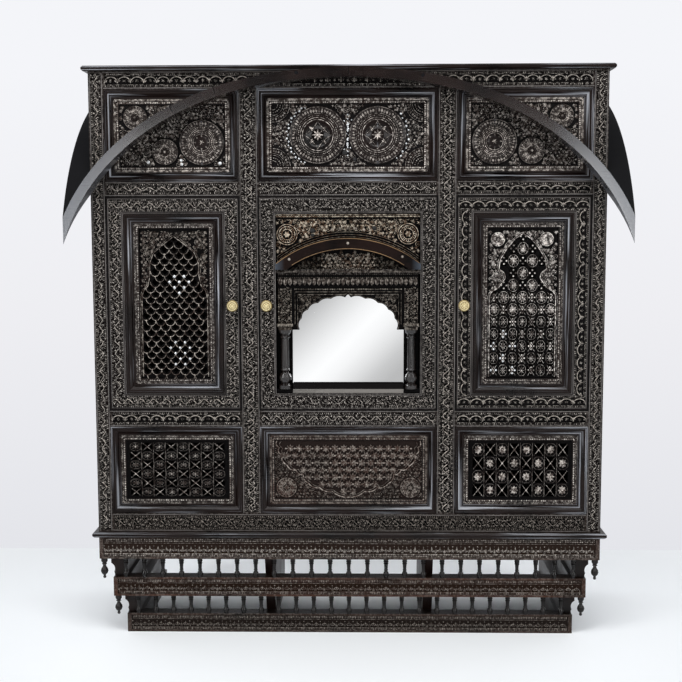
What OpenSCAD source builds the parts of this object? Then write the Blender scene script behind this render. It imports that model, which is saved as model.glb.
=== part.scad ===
// Carved teak oriel window: a projecting bay of three storeys of panels and leaves,
// with a bent eave over its front and sides and a stepped base with turned balusters.
// The front faces -Y, the bay ends flat at the wall on +Y, and it stands on z = 0.

/* [Bay] */
// Width of the bay over its corner posts
body_w = 1800; // [1600:10:2200]
// Depth of the bay from its front to the wall
body_d = 620; // [500:10:800]
// Face width and depth of the corner and wall posts
post = 50; // [40:1:80]
// Face width of the two mullions
mullion_w = 62; // [40:1:90]
// Clear width between the mullions
centre_w = 631; // [500:1:760]
// Thickness of the rails
rail_t = 44; // [30:1:60]
// Height of the bottom rail
bottom_rail_h = 65; // [40:1:90]
// Height of the rail under the leaves
lower_rail_h = 58; // [40:1:90]
// Height of the rail over the leaves
upper_rail_h = 50; // [40:1:90]
// Height of the top rail
top_rail_h = 60; // [40:1:90]
// Height of the lower panels
lower_panel_h = 317; // [220:1:420]
// Height of the opening for the leaves
leaf_open_h = 758; // [700:1:900]
// Height of the upper panels
upper_panel_h = 319; // [220:1:420]

/* [Panels and leaves] */
// Thickness of the panels
panel_t = 26; // [16:1:34]
// How far the panels stand back from the front of the posts
panel_set = 6; // [0:1:10]
// Thickness of the leaves
leaf_t = 34; // [24:1:38]
// Gap round each leaf
leaf_gap = 3; // [2:0.5:5]
// Width of the plain fillets along carved bands
fillet_w = 7; // [4:0.5:10]
// How deep carved bands are sunk between their fillets
sunk = 4; // [2:0.5:6]
// Diameter of the pivots that carry the leaves in the rails
pivot_d = 18; // [12:1:24]
// Width of the carved band round each leaf
band_w = 58; // [40:1:70]
// Width of the sloping moulding inside the band
slope_w = 34; // [20:1:45]
// Width of the beaded border inside the moulding
border_w = 18; // [10:1:28]
// Thickness of the pierced lattices
lattice_t = 16; // [10:1:22]
// Width of the moulding round the upper and lower panels
panel_slope_w = 34; // [20:1:45]

/* [Lattices] */
// Distance across between holes of the left lattice
scale_pitch = 34; // [28:1:42]
// Distance between rows of holes of the left lattice
scale_row = 19.5; // [16:0.5:24]
// Width of the bars between those holes
scale_bar = 7; // [5:0.5:10]
// Width of a square of the right lattice
chequer_w = 33.2; // [28:0.1:42]
// Height of a square of the right lattice
chequer_h = 43; // [34:0.5:50]
// Width of a square of the lower left lattice
cross_w = 43; // [36:1:52]
// Height of a square of the lower left lattice
cross_h = 33; // [28:1:42]
// Width of a square of the lower right lattice
square_w = 43; // [36:1:52]
// Height of a square of the lower right lattice
square_h = 49; // [40:1:58]
// Width of the bars of the crosses
cross_bar = 4.5; // [3:0.5:8]
// Width of the plain margin round a lattice
margin_w = 7; // [4:1:12]
// How deep the boards of panels and leaves are let into their frames
tongue = 3; // [1:0.5:6]

/* [Middle leaf] */
// Height of the sill strip
sill_h = 18; // [12:1:26]
// Height of the dark gap over the sill
sill_gap = 18; // [12:1:26]
// Rise of the cusped arch over its springing
arch_rise = 127; // [90:1:150]
// Number of lobes on each side of the arch
arch_lobes = 5; // [3:1:7]
// Depth of the lobes
lobe_depth = 7; // [4:0.5:10]
// Step inwards at the springing of the arch, on each side
arch_step = 24; // [14:1:34]
// Height of the arched board over its point
arch_top = 22; // [14:1:34]
// Thickness of the arched board
arch_t = 14; // [8:1:16]
// Width of the pilasters beside the arch
pilaster_w = 52; // [40:1:58]
// Gap between the pilasters and the band
pilaster_gap = 6; // [3:1:10]
// Height of the lintel over the arch
lintel_h = 49; // [36:1:60]
// Height of the moulding over the lintel
lintel_cap_h = 15; // [8:1:20]
// Diameter of the colonnettes
colonnette_d = 44; // [24:1:46]
// Rise of the small hood over its tips
hood_rise_h = 90; // [60:1:110]
// Height of the cut ends of the hood
hood_end = 20; // [12:1:30]
// Thickness of the hood at its crown
hood_t = 40; // [24:1:50]
// How far the hood stands out from the board of the leaf
hood_out = 44; // [24:1:70]
// Height of the carved panel over the crown of the hood
spandrel_h = 66; // [40:1:90]
// Height of the strip over that panel
strip_h = 20; // [12:1:30]
// Thickness of the board of the middle leaf
leaf_board_t = 8; // [6:1:10]
// Thickness of the mirror
mirror_t = 4; // [3:0.5:5]
// Diameter of the knobs
knob_d = 40; // [30:1:50]
// Distance of the knobs below the middle of the leaves
knob_drop = 5; // [0:1:40]
// Distance of the knobs from the closing edge
knob_in = 26; // [20:1:40]

/* [Eaves and cornices] */
// How far the eaves stand out from the bay
eave_out = 80; // [60:1:100]
// Thickness of the eave board
eave_t = 32; // [24:1:44]
// Drop of the eave from its crown to its tips
eave_drop = 503; // [400:1:560]
// Fullness of the eave curve: its half width over its half axis
eave_full = 0.947; // [0.9:0.001:0.97]
// Power of the eave curve, 2 for an ellipse and more for a flatter crown
eave_power = 2.2; // [2:0.1:2.6]
// Thickness of the top cornice
cornice_t = 18; // [14:1:30]
// How far the top and bottom cornices stand out
cornice_out = 20; // [12:1:30]
// Thickness of the bottom cornice
lip_t = 20; // [12:1:26]

/* [Base] */
// Height of the apron under the bay
apron_h = 82; // [60:1:110]
// Height of the middle tier
tier_h = 70; // [50:1:90]
// Height of the plinth on the floor
plinth_h = 70; // [50:1:90]
// Depth of the timbers of the tiers
tier_t = 54; // [48:1:64]
// Step from one tier to the next
tier_step = 40; // [30:1:44]
// Height of the upper row of balusters
upper_bal_h = 81; // [60:1:100]
// Height of the lower row of balusters
lower_bal_h = 79; // [60:1:100]
// Largest diameter of a baluster
bal_d = 24; // [16:1:26]
// Distance between balusters of the upper row
upper_pitch = 67.9; // [50:1:90]
// Distance between balusters of the lower row
lower_pitch = 64.9; // [50:1:90]
// Length of the pendants under the apron
upper_pendant_h = 76; // [50:1:79]
// Length of the pendants under the middle tier
lower_pendant_h = 73; // [50:1:76]
// Largest diameter of a pendant
pendant_d = 27; // [20:1:32]
// Thickness of the coved boards at the sides, at the top
cove_t = 54; // [40:1:54]
// Thickness of the corbel brackets
bracket_t = 34; // [24:1:44]
// How far the brackets stand inside the mullions
bracket_in = 25; // [0:1:80]

/* [Boards] */
// Thickness of the back board
board_t = 18; // [12:1:24]

/* [Hidden] */
$fn = 48;
teak = [0.16, 0.11, 0.09];
dark_teak = [0.07, 0.06, 0.06];
brass = [0.75, 0.62, 0.38];

// Levels above the floor
tier_z = plinth_h + lower_bal_h;
apron_z = tier_z + tier_h + upper_bal_h;
lip_z = apron_z + apron_h;
body_z = lip_z + lip_t;
lower_z = body_z + bottom_rail_h;
lower_rail_z = lower_z + lower_panel_h;
leaf_z = lower_rail_z + lower_rail_h;
upper_rail_z = leaf_z + leaf_open_h;
upper_z = upper_rail_z + upper_rail_h;
top_rail_z = upper_z + upper_panel_h;
body_top = top_rail_z + top_rail_h;
body_h = body_top - body_z;

// Places across and along the bay
wall_y = (body_d + eave_out) / 2;
face_y = wall_y - body_d;
side_w = (body_w - 2 * post - 2 * mullion_w - centre_w) / 2;
side_x = centre_w / 2 + mullion_w + side_w / 2;
mullion_x = (centre_w + mullion_w) / 2;
side_len = body_d - 2 * post;
side_mid_y = (face_y + wall_y) / 2;
eps = 0.01;

// Leaves
leaf_h = leaf_open_h - 2 * leaf_gap;
leaf_w = side_w - 2 * leaf_gap;
middle_leaf_w = centre_w - 2 * leaf_gap;
leaf_mid_z = leaf_z + leaf_open_h / 2;
frame_in = band_w + slope_w + border_w;
lattice_w = leaf_w - 2 * frame_in;
lattice_h = leaf_h - 2 * frame_in;
panel_in = panel_slope_w + border_w;
lower_lattice_w = side_w - 2 * panel_in;
lower_lattice_h = lower_panel_h - 2 * panel_in;

// Moves a board drawn flat, with its front on +Z, onto the front at x and height z
module on_front(x, z) {
    translate([x, face_y, z]) rotate([90, 0, 0]) children();
}

// Moves such a board onto the left (-1) or right (1) side at the middle of its length
module on_side(side, z) {
    translate([side * body_w / 2, side_mid_y, z]) rotate([90, 0, side * 90]) children();
}

module plate(w, h, low, high) {
    translate([-w / 2, -h / 2, low]) cube([w, h, high - low]);
}

// One mitred moulding along the lower edge of a frame; the profile is [inwards, outwards]
module mitred_side(length, reach, profile) {
    intersection() {
        rotate([90, 0, 90]) linear_extrude(length, center = true) polygon(profile);
        translate([0, 0, -post]) linear_extrude(2 * post)
            polygon([[-length / 2 - eps, 0], [length / 2 + eps, 0],
                [length / 2 + eps - reach, reach], [-length / 2 - eps + reach, reach]]);
    }
}

// A rectangular frame of mitred mouldings, centred, with its outer edge w by h
module moulded_frame(w, h, reach, profile) {
    for (turn = [0, 180]) {
        rotate([0, 0, turn]) translate([0, -h / 2, 0]) mitred_side(w, reach, profile);
        rotate([0, 0, turn + 90]) translate([0, -w / 2, 0]) mitred_side(h, reach, profile);
    }
}

// A flower boss: a dished disc with a raised centre
module rosette(r, low, rise) {
    translate([0, 0, low]) rotate_extrude() polygon([[0, 0], [r, 0], [r, rise * 0.4],
        [r * 0.9, rise * 0.7], [r * 0.75, rise * 0.45], [r * 0.42, rise * 0.8], [r * 0.34, rise * 0.5],
        [r * 0.22, rise], [0, rise]]);
}

// Profiles of the frames of leaves and panels, from their outer edge inwards
slope_in = band_w + slope_w;
slope_drop = 12;
panel_drop = 10;
panel_sunk = 14;
function band_profile() = [[0, 0], [fillet_w, 0], [fillet_w, -sunk], [band_w - fillet_w, -sunk],
    [band_w - fillet_w, 0], [band_w, 0]];
function leaf_profile(depth) = concat([[0, -depth]], band_profile(), [[band_w, -3], [band_w + 2, -3],
    [band_w + 3, 4], [band_w + 7, 4], [band_w + 8, 0], [band_w + slope_w * 0.4, -1],
    [slope_in - 8, -slope_drop + 1], [slope_in - 6, -slope_drop + 6], [slope_in - 2, -slope_drop + 6],
    [slope_in, -slope_drop], [frame_in, -slope_drop], [frame_in, -depth]]);
function panel_profile(depth) = [[0, -depth], [0, 3], [4, 5], [6, 5], [8, 1], [panel_slope_w * 0.45, 0],
    [panel_slope_w - 8, -panel_drop + 1], [panel_slope_w - 6, -panel_drop + 6],
    [panel_slope_w - 2, -panel_drop + 6], [panel_slope_w, -panel_drop],
    [panel_in, -panel_drop], [panel_in, -depth]];

// A member with a carved band sunk between two fillets and square ends
module sunk_member(w, h, depth) {
    difference() {
        plate(w, h, -depth, 0);
        plate(w - 2 * fillet_w, h - 2 * fillet_w, -sunk, 1);
    }
}

// Posts and rails
module corner_posts() {
    color(teak) for (side = [-1, 1])
        on_front(side * (body_w - post) / 2, body_z + body_h / 2) sunk_member(post, body_h, post);
}

module wall_posts() {
    color(teak) for (side = [-1, 1])
        translate([side * (body_w - post) / 2 - post / 2, wall_y - post, body_z])
            cube([post, post, body_h]);
}

mullion_h = body_h - bottom_rail_h - top_rail_h;
module mullions() {
    color(teak) for (side = [-1, 1])
        on_front(side * mullion_x, lower_z + mullion_h / 2) sunk_member(mullion_w, mullion_h, post);
}

module long_rail(z, h) {
    on_front(0, z + h / 2) sunk_member(body_w - 2 * post, h, rail_t);
}

module split_rail(z, h) {
    for (bay = [-1, 1]) on_front(bay * side_x, z + h / 2) sunk_member(side_w, h, rail_t);
    on_front(0, z + h / 2) sunk_member(centre_w, h, rail_t);
}

module bottom_rail() { color(teak) long_rail(body_z, bottom_rail_h); }
module top_rail() { color(teak) long_rail(top_rail_z, top_rail_h); }
module lower_rails() { color(teak) split_rail(lower_rail_z, lower_rail_h); }
module upper_rails() { color(teak) split_rail(upper_rail_z, upper_rail_h); }

// A closed panel: a moulded frame round a sunk field that carries rosettes
module carved_panel(w, h, flowers) {
    back = panel_set + panel_t;
    moulded_frame(w, h, panel_in, [for (p = panel_profile(back)) p - [0, panel_set]]);
    plate(w - 2 * panel_in + 2 * tongue, h - 2 * panel_in + 2 * tongue, -back, -panel_set - panel_sunk);
    for (f = flowers) translate([f[0], f[1], 0]) rosette(f[2], -panel_set - panel_sunk - eps, 12);
}

upper_mid_z = upper_z + upper_panel_h / 2;
lower_mid_z = lower_z + lower_panel_h / 2;
// Flowers of the upper panels: place from the middle of the panel, and radius
side_flowers = [[104, -24, 78], [-25, -56, 45], [-128, 62, 41]];
middle_flowers = [[-104, 0, 100], [104, 0, 100]];

module upper_left_panel() {
    color(teak) on_front(-side_x, upper_mid_z) carved_panel(side_w, upper_panel_h, side_flowers);
}
module upper_right_panel() {
    color(teak) on_front(side_x, upper_mid_z) mirror([1, 0, 0])
        carved_panel(side_w, upper_panel_h, side_flowers);
}
module upper_middle_panel() {
    color(teak) on_front(0, upper_mid_z) carved_panel(centre_w, upper_panel_h, middle_flowers);
}
module lower_middle_panel() {
    color(teak) on_front(0, lower_mid_z) carved_panel(centre_w, lower_panel_h, []);
}

module lower_frame(x) {
    color(teak) on_front(x, lower_mid_z)
        moulded_frame(side_w, lower_panel_h, panel_in,
            [for (p = panel_profile(panel_set + panel_t)) p - [0, panel_set]]);
}
module lower_left_frame() { lower_frame(-side_x); }
module lower_right_frame() { lower_frame(side_x); }

// Flat lattices: a board of w by h pierced by the holes given as children
module pierced(w, h) {
    linear_extrude(lattice_t, center = true) difference() {
        square([w, h], center = true);
        children();
    }
}

// Outlines of the two arches: height over the middle of the lattice and half width there, both as
// shares of half the height and half the width of the field
ogee = [[0.1, 1], [0.2, 0.93], [0.23, 0.82], [0.38, 0.75], [0.56, 0.74], [0.7, 0.62], [0.8, 0.36],
    [0.92, 0.02]];
trefoil = [[0.1, 1], [0.16, 0.94], [0.22, 0.72], [0.35, 0.52], [0.42, 0.56], [0.47, 0.72], [0.6, 0.68],
    [0.75, 0.48], [0.88, 0.24], [0.95, 0.02]];
function arch_top_y(h, arch) = arch[len(arch) - 1][0] * h / 2;
function arch_half(w, h, arch, y) = y > arch_top_y(h, arch) ? 0 : lookup(2 * y / h, arch) * w / 2;

// Lozenge holes in offset rows, which leave the crossing bars of a scale pattern
module scale_holes(w, h, arch) {
    half_w = (scale_pitch - scale_bar * 1.3) / 2;
    half_h = scale_row - scale_bar * 0.75;
    rows = floor((h / 2 - half_h) / scale_row);
    cols = ceil(w / scale_pitch / 2);
    for (j = [-rows:rows]) for (i = [-cols:cols]) {
        x = (i + (j % 2 == 0 ? 0 : 0.5)) * scale_pitch;
        if (abs(x) + half_w * 0.6 < arch_half(w, h, arch, j * scale_row) && abs(x) + half_w < w / 2 + 1)
            translate([x, j * scale_row]) polygon([[-half_w, 0], [0, -half_h], [half_w, 0], [0, half_h]]);
    }
}

// Three-cornered holes in the four quarters of a square, which leave a cross between them
module cross_cell(cell_w, cell_h) {
    x = cell_w / 2 - cross_bar;
    y = cell_h / 2 - cross_bar;
    for (turn = [0, 180]) rotate(turn) {
        polygon([[0, cross_bar * 0.7], [x, y + cross_bar / 2], [-x, y + cross_bar / 2]]);
        polygon([[cross_bar * 0.7, 0], [x + cross_bar / 2, -y], [x + cross_bar / 2, y]]);
    }
}

// Cross cells on every other square of a chequer, all over or inside an arch
module cross_holes(w, h, cell_w, cell_h, arch) {
    cols = floor((w + 1) / cell_w);
    rows = floor((h + 1) / cell_h);
    for (j = [0:rows - 1]) for (i = [0:cols - 1]) if ((i + j) % 2 == 0) {
        x = (i + 0.5 - cols / 2) * cell_w;
        y = (j + 0.5 - rows / 2) * cell_h;
        if (len(arch) == 0 || abs(x) + cell_w * 0.3 < arch_half(w, h, arch, y)) translate([x, y])
            cross_cell(cell_w, cell_h);
    }
}

lattice_back = -panel_set - panel_t + lattice_t / 2;
field_w = lattice_w - 2 * margin_w;
field_h = lattice_h - 2 * margin_w;
lower_field_w = lower_lattice_w - 2 * margin_w;
lower_field_h = lower_lattice_h - 2 * margin_w;

module left_lattice() {
    color(dark_teak) on_front(-side_x, leaf_mid_z) translate([0, 0, -leaf_t + lattice_t / 2])
        pierced(lattice_w, lattice_h) scale_holes(field_w, field_h, ogee);
}
module right_lattice() {
    color(dark_teak) on_front(side_x, leaf_mid_z) translate([0, 0, -leaf_t + lattice_t / 2])
        pierced(lattice_w, lattice_h)
            cross_holes(field_w, field_h, chequer_w, chequer_h, trefoil);
}
module lower_lattice(x, cell_w, cell_h) {
    color(dark_teak) on_front(x, lower_mid_z) translate([0, 0, lattice_back])
        pierced(lower_lattice_w, lower_lattice_h)
            cross_holes(lower_field_w, lower_field_h, cell_w, cell_h, []);
}
module lower_left_lattice() { lower_lattice(-side_x, cross_w, cross_h); }
module lower_right_lattice() { lower_lattice(side_x, square_w, square_h); }

// Leaves, each with a pivot at the top and bottom of its hanging edge
module pivots(w, side) {
    length = leaf_gap + tongue;
    for (end = [-1, 1])
        translate([side * (w / 2 - pivot_d), end * (leaf_h / 2 + leaf_gap - length / 2), -leaf_t / 2])
            rotate([90, 0, 0]) cylinder(d = pivot_d, h = length, center = true);
}
module leaf_frame(x, side) {
    color(teak) on_front(x, leaf_mid_z) {
        moulded_frame(leaf_w, leaf_h, frame_in, leaf_profile(leaf_t));
        pivots(leaf_w, side);
    }
}
module left_leaf() { leaf_frame(-side_x, -1); }
module right_leaf() { leaf_frame(side_x, 1); }

// Depths behind the front of the bands that are laid on the middle leaf
sill_back = 4;
lintel_back = 5;
cap_back = 2;
strip_back = 10;
pilaster_back = 8;
hood_panel_t = 10;
// The two plates of a capital, the lower one first: how far back each lies, and how much wider than
// the pilaster it is
capital_back = [5, 1];
capital_wider = [-6, 4];

// Middle leaf: its inner field is filled from the sill up to the strip under the band
inner_w = middle_leaf_w - 2 * band_w;
inner_h = leaf_h - 2 * band_w;
inner_z = leaf_mid_z - inner_h / 2;
board_face = -leaf_t + leaf_board_t;
mirror_z = inner_z + sill_h + sill_gap;
arch_spring = inner_h - sill_h - sill_gap - arch_rise - arch_top - lintel_h - lintel_cap_h
    - hood_end - hood_rise_h - spandrel_h - strip_h;
spring_z = mirror_z + arch_spring;
lintel_z = spring_z + arch_rise + arch_top;
hood_z = lintel_z + lintel_h + lintel_cap_h;
pilaster_x = inner_w / 2 - pilaster_gap - pilaster_w / 2;
arch_w = 2 * pilaster_x - pilaster_w;
capital_h = 22;
colonnette_h = spring_z - inner_z - sill_h;

// A strip of the middle leaf that starts at height z and stands out from its board, let into it
module applied(z, h, w, front) {
    on_front(0, z + h / 2) plate(w, h, board_face - tongue, front);
}

module middle_leaf() {
    color(teak) {
        on_front(0, leaf_mid_z) {
            moulded_frame(middle_leaf_w, leaf_h, band_w,
                concat([[0, -leaf_t]], band_profile(), [[band_w, -leaf_t]]));
            plate(inner_w + 2 * tongue, inner_h + 2 * tongue, -leaf_t, board_face);
            pivots(middle_leaf_w, 1);
        }
        applied(inner_z, sill_h, inner_w, -sill_back);
        applied(lintel_z, lintel_h, arch_w + 2 * pilaster_w, -lintel_back);
        applied(hood_z - lintel_cap_h, lintel_cap_h, inner_w, -cap_back);
        applied(inner_z + inner_h - strip_h, strip_h, inner_w, -strip_back);
    }
}

// Pilasters stand on capitals, and those on turned colonnettes that rise from the sill
module pilasters() {
    shaft_h = lintel_z - spring_z - capital_h;
    color(teak) for (side = [-1, 1]) translate([side * pilaster_x, 0, 0]) {
        on_front(0, spring_z + capital_h + shaft_h / 2)
            plate(pilaster_w, shaft_h, board_face, -pilaster_back);
        for (k = [0, 1]) on_front(0, spring_z + capital_h * (0.25 + 0.5 * k))
            plate(pilaster_w + capital_wider[k], capital_h / 2, board_face, -capital_back[k]);
    }
}

module colonnettes() {
    r = colonnette_d / 2;
    color(dark_teak) for (side = [-1, 1])
        translate([side * pilaster_x, face_y - board_face - r, inner_z + sill_h]) rotate_extrude()
            polygon([for (p = [[0, 0], [1, 0], [1, 0.06], [0.6, 0.09], [0.95, 0.15], [1, 0.2], [0.75, 0.26],
                [0.5, 0.29], [0.8, 0.32], [0.66, 0.35], [0.62, 0.85], [0.85, 0.88], [0.6, 0.91], [0.9, 0.95],
                [1, 1], [0, 1]]) [p[0] * r, p[1] * colonnette_h]]);
}

// Outline of the cusped opening: bulging lobes along an arch that ends in a small point
arch_half_w = arch_w / 2 - arch_step;
point_w = 10;
lobe_parts = 8;
function arch_at(t) = [point_w + (arch_half_w - point_w) * cos(90 * t),
    arch_rise * 0.9 * pow(sin(90 * t), 0.9)];
function lobe_at(low, high, s) = low + (high - low) * s
    + [high[1] - low[1], low[0] - high[0]] / norm(high - low) * lobe_depth * 4 * s * (1 - s);
arch_side = [for (i = [0:arch_lobes - 1]) for (k = [0:lobe_parts - 1])
    lobe_at(arch_at(i / arch_lobes), arch_at((i + 1) / arch_lobes), k / lobe_parts)];
arch_count = len(arch_side);

module cusped_opening() {
    polygon(concat([[arch_half_w, -1]], arch_side, [arch_at(1), [0, arch_rise]],
        [[-arch_at(1)[0], arch_at(1)[1]]],
        [for (i = [arch_count - 1:-1:0]) [-arch_side[i][0], arch_side[i][1]]],
        [[-arch_half_w, -1]]));
}

module arch_board() {
    board_h = arch_rise + arch_top;
    color(dark_teak) on_front(0, spring_z) translate([0, 0, board_face + mirror_t]) linear_extrude(arch_t)
        difference() {
            translate([-arch_w / 2, 0]) square([arch_w, board_h]);
            cusped_opening();
        }
}

module mirror_glass() {
    mirror_h = lintel_z - mirror_z;
    color([0.85, 0.87, 0.88]) on_front(0, mirror_z + mirror_h / 2)
        plate(arch_w, mirror_h, board_face, board_face + mirror_t);
}

// The small hood over the middle leaf: a bent board between two arcs, cut off at its tips
hood_half = inner_w / 2;
hood_half_in = hood_half - hood_t;
hood_in_h = hood_rise_h + hood_end - hood_t;
hood_r = (pow(hood_half, 2) + pow(hood_rise_h, 2)) / (2 * hood_rise_h);
hood_r_in = (pow(hood_half_in, 2) + pow(hood_in_h, 2)) / (2 * hood_in_h);

module hood_outer() {
    intersection() {
        translate([0, hood_end + hood_rise_h - hood_r]) circle(r = hood_r);
        translate([-hood_half, 0]) square([2 * hood_half, hood_end + hood_rise_h + 1]);
    }
}

module hood() {
    color(teak) on_front(0, hood_z) translate([0, 0, board_face]) linear_extrude(hood_out) difference() {
        hood_outer();
        translate([0, hood_in_h - hood_r_in]) circle(r = hood_r_in);
    }
}

module hood_panel() {
    panel_h = hood_end + hood_rise_h + spandrel_h;
    color(teak) on_front(0, hood_z) translate([0, 0, board_face]) linear_extrude(hood_panel_t)
        difference() {
            translate([-inner_w / 2, 0]) square([inner_w, panel_h]);
            hood_outer();
        }
}

// Brass knobs on the closing edges of the three leaves
knob_z = leaf_mid_z - knob_drop;
knob_x = [-side_x + leaf_w / 2 - knob_in, -middle_leaf_w / 2 + knob_in, side_x - leaf_w / 2 + knob_in];

module knobs() {
    r = knob_d / 2;
    color(brass) for (x = knob_x) on_front(x, knob_z) translate([0, 0, -sunk]) rotate_extrude()
        polygon([[0, 0], [r * 0.55, 0], [r * 0.4, 5], [r * 0.42, 10], [r, 15], [r, 18],
            [r * 0.8, 22], [r * 0.4, 25], [0, 26]]);
}

// Sides: rails between the posts, and panels in three rows
module side_rails(side) {
    for (level = [[body_z, bottom_rail_h], [lower_rail_z, lower_rail_h],
            [upper_rail_z, upper_rail_h], [top_rail_z, top_rail_h]])
        on_side(side, level[0] + level[1] / 2) plate(side_len, level[1], -rail_t, 0);
}
module side_panels(side) {
    for (level = [[lower_z, lower_panel_h], [upper_z, upper_panel_h]])
        on_side(side, level[0] + level[1] / 2) carved_panel(side_len, level[1], []);
    on_side(side, leaf_mid_z) {
        moulded_frame(side_len, leaf_open_h, frame_in, leaf_profile(leaf_t));
        plate(side_len - 2 * frame_in + 2 * tongue, leaf_open_h - 2 * frame_in + 2 * tongue,
            -leaf_t, -slope_drop - 6);
    }
}
module left_side_rails() { color(teak) side_rails(-1); }
module right_side_rails() { color(teak) side_rails(1); }
module left_side_panels() { color(teak) side_panels(-1); }
module right_side_panels() { color(teak) side_panels(1); }

// Closing boards
module back_board() {
    color(teak) translate([-body_w / 2 + post, wall_y - board_t, body_z])
        cube([body_w - 2 * post, board_t, body_h]);
}

module floor_board() {
    color(teak) translate([-body_w / 2, face_y, lip_z]) cube([body_w, body_d, lip_t]);
}
module roof_board() {
    color(teak) translate([-body_w / 2, face_y, body_top]) cube([body_w, body_d, cornice_t]);
}

// A cornice round the front and sides with a rounded nose, outside the board it finishes
module cornice(z, t) {
    difference() {
        nosed_board(z, t);
        translate([-body_w / 2, face_y, z - 1]) cube([body_w, body_d + 1, t + 2]);
    }
}
module nosed_board(z, t) {
    half = body_w / 2 + cornice_out;
    front = face_y - cornice_out;
    round = t * 0.3;
    intersection() {
        translate([0, 0, z]) rotate([90, 0, 90]) linear_extrude(2 * half, center = true)
            polygon([[front + round, 0], [wall_y, 0], [wall_y, t], [front + round, t], [front, t - round],
                [front, round]]);
        translate([0, wall_y + 1, z]) rotate([90, 0, 0]) linear_extrude(body_d + cornice_out + 2)
            polygon([[-half + round, 0], [half - round, 0], [half, round], [half, t - round],
                [half - round, t], [-half + round, t], [-half, t - round], [-half, round]]);
    }
}
module top_cornice() { color(teak) cornice(body_top, cornice_t); }
module bottom_cornice() { color(teak) cornice(lip_z, lip_t); }

// The eave board: a bent arc from the crown down to the tips, seen from the front
eave_half = body_w / 2 + eave_out;
eave_axis = eave_half / eave_full;
eave_rise = eave_drop / (1 - sqrt(1 - pow(eave_full, eave_power)));
eave_steps = 36;
eave_reach = min(eave_half + eave_t * 0.98, eave_axis * 0.998);
function eave_z(x) = eave_rise * sqrt(1 - pow(abs(x) / eave_axis, eave_power)) - eave_rise;
function eave_slope(x) = -sign(x) * pow(eave_rise, 2) * eave_power / 2
    * pow(abs(x) / eave_axis, eave_power - 1) / eave_axis / (eave_z(x) + eave_rise);
function eave_inner(x) = [x, eave_z(x)] + eave_t * [eave_slope(x), -1] / norm([eave_slope(x), 1]);
eave_xs = [for (i = [-eave_steps:eave_steps]) eave_reach * sin(90 * i / eave_steps)];
eave_outline = concat([for (x = eave_xs) [x, eave_z(x)]],
    [for (i = [len(eave_xs) - 1:-1:0]) eave_inner(eave_xs[i])]);

module front_eave() {
    color(dark_teak) intersection() {
        translate([0, face_y, body_top]) rotate([90, 0, 0]) linear_extrude(eave_out) polygon(eave_outline);
        linear_extrude(body_top + eave_t) polygon([[-eave_half, face_y - eave_out],
            [eave_half, face_y - eave_out], [body_w / 2, face_y], [-body_w / 2, face_y]]);
    }
}

module side_eave(side) {
    color(dark_teak) intersection() {
        translate([side * eave_half, face_y - eave_out + eave_half, body_top]) rotate([90, 0, -side * 90])
            linear_extrude(eave_out) mirror([side > 0 ? 1 : 0, 0, 0]) polygon(eave_outline);
        linear_extrude(body_top + eave_t) polygon([[side * eave_half, face_y - eave_out],
            [side * body_w / 2, face_y], [side * body_w / 2, wall_y], [side * eave_half, wall_y]]);
    }
}
module left_eave() { side_eave(-1); }
module right_eave() { side_eave(1); }

// Tiers of the base: a front timber and two side timbers that meet in mitres
module tier_front(step, z, h) {
    half = body_w / 2 - step;
    difference() {
        translate([0, 0, z]) linear_extrude(h) polygon([[-half, face_y + step], [half, face_y + step],
            [half - tier_t, face_y + step + tier_t], [-half + tier_t, face_y + step + tier_t]]);
        on_front(0, z + h / 2)
            plate(2 * half - 4 * fillet_w, h - 2 * fillet_w, -step - sunk, -step + 1);
    }
}
module tier_sides(step, z, h) {
    half = body_w / 2 - step;
    for (side = [-1, 1]) translate([0, 0, z]) linear_extrude(h)
        polygon([[side * half, face_y + step], [side * (half - tier_t), face_y + step + tier_t],
            [side * (half - tier_t), wall_y], [side * half, wall_y]]);
}
module front_apron() { color(teak) tier_front(0, apron_z, apron_h); }
module side_aprons() { color(teak) tier_sides(0, apron_z, apron_h); }
module front_tier() { color(teak) tier_front(tier_step, tier_z, tier_h); }
module side_tiers() { color(teak) tier_sides(tier_step, tier_z, tier_h); }
module front_plinth() { color(teak) tier_front(2 * tier_step, 0, plinth_h); }
module side_plinths() { color(teak) tier_sides(2 * tier_step, 0, plinth_h); }

// A turned baluster, from its foot up: bulb, neck, slender body, two rings and a bell cap
module baluster(h) {
    r = bal_d / 2;
    rotate_extrude() polygon([for (p = [[0, 0], [0.7, 0], [0.62, 0.05], [0.84, 0.11], [0.86, 0.19],
        [0.62, 0.27], [0.48, 0.31], [0.62, 0.35], [0.5, 0.39], [0.58, 0.6], [0.76, 0.65], [0.6, 0.69],
        [0.8, 0.74], [0.68, 0.79], [0.96, 0.86], [1, 0.93], [1, 1], [0, 1]]) [p[0] * r, p[1] * h]]);
}

// A row of balusters stands on the front of a tier and carries the next one
row_end = 36;
function row_line(step) = step + (tier_t - tier_step) / 2;
module baluster_row(step, z, h, pitch) {
    count = floor((body_w / 2 - step - row_end) / pitch);
    for (i = [-count:count]) translate([i * pitch, face_y + row_line(step), z]) baluster(h);
}
module upper_balusters() {
    color(teak) baluster_row(tier_step, tier_z + tier_h, upper_bal_h, upper_pitch);
}
module lower_balusters() {
    color(teak) baluster_row(2 * tier_step, plinth_h, lower_bal_h, lower_pitch);
}

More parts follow.
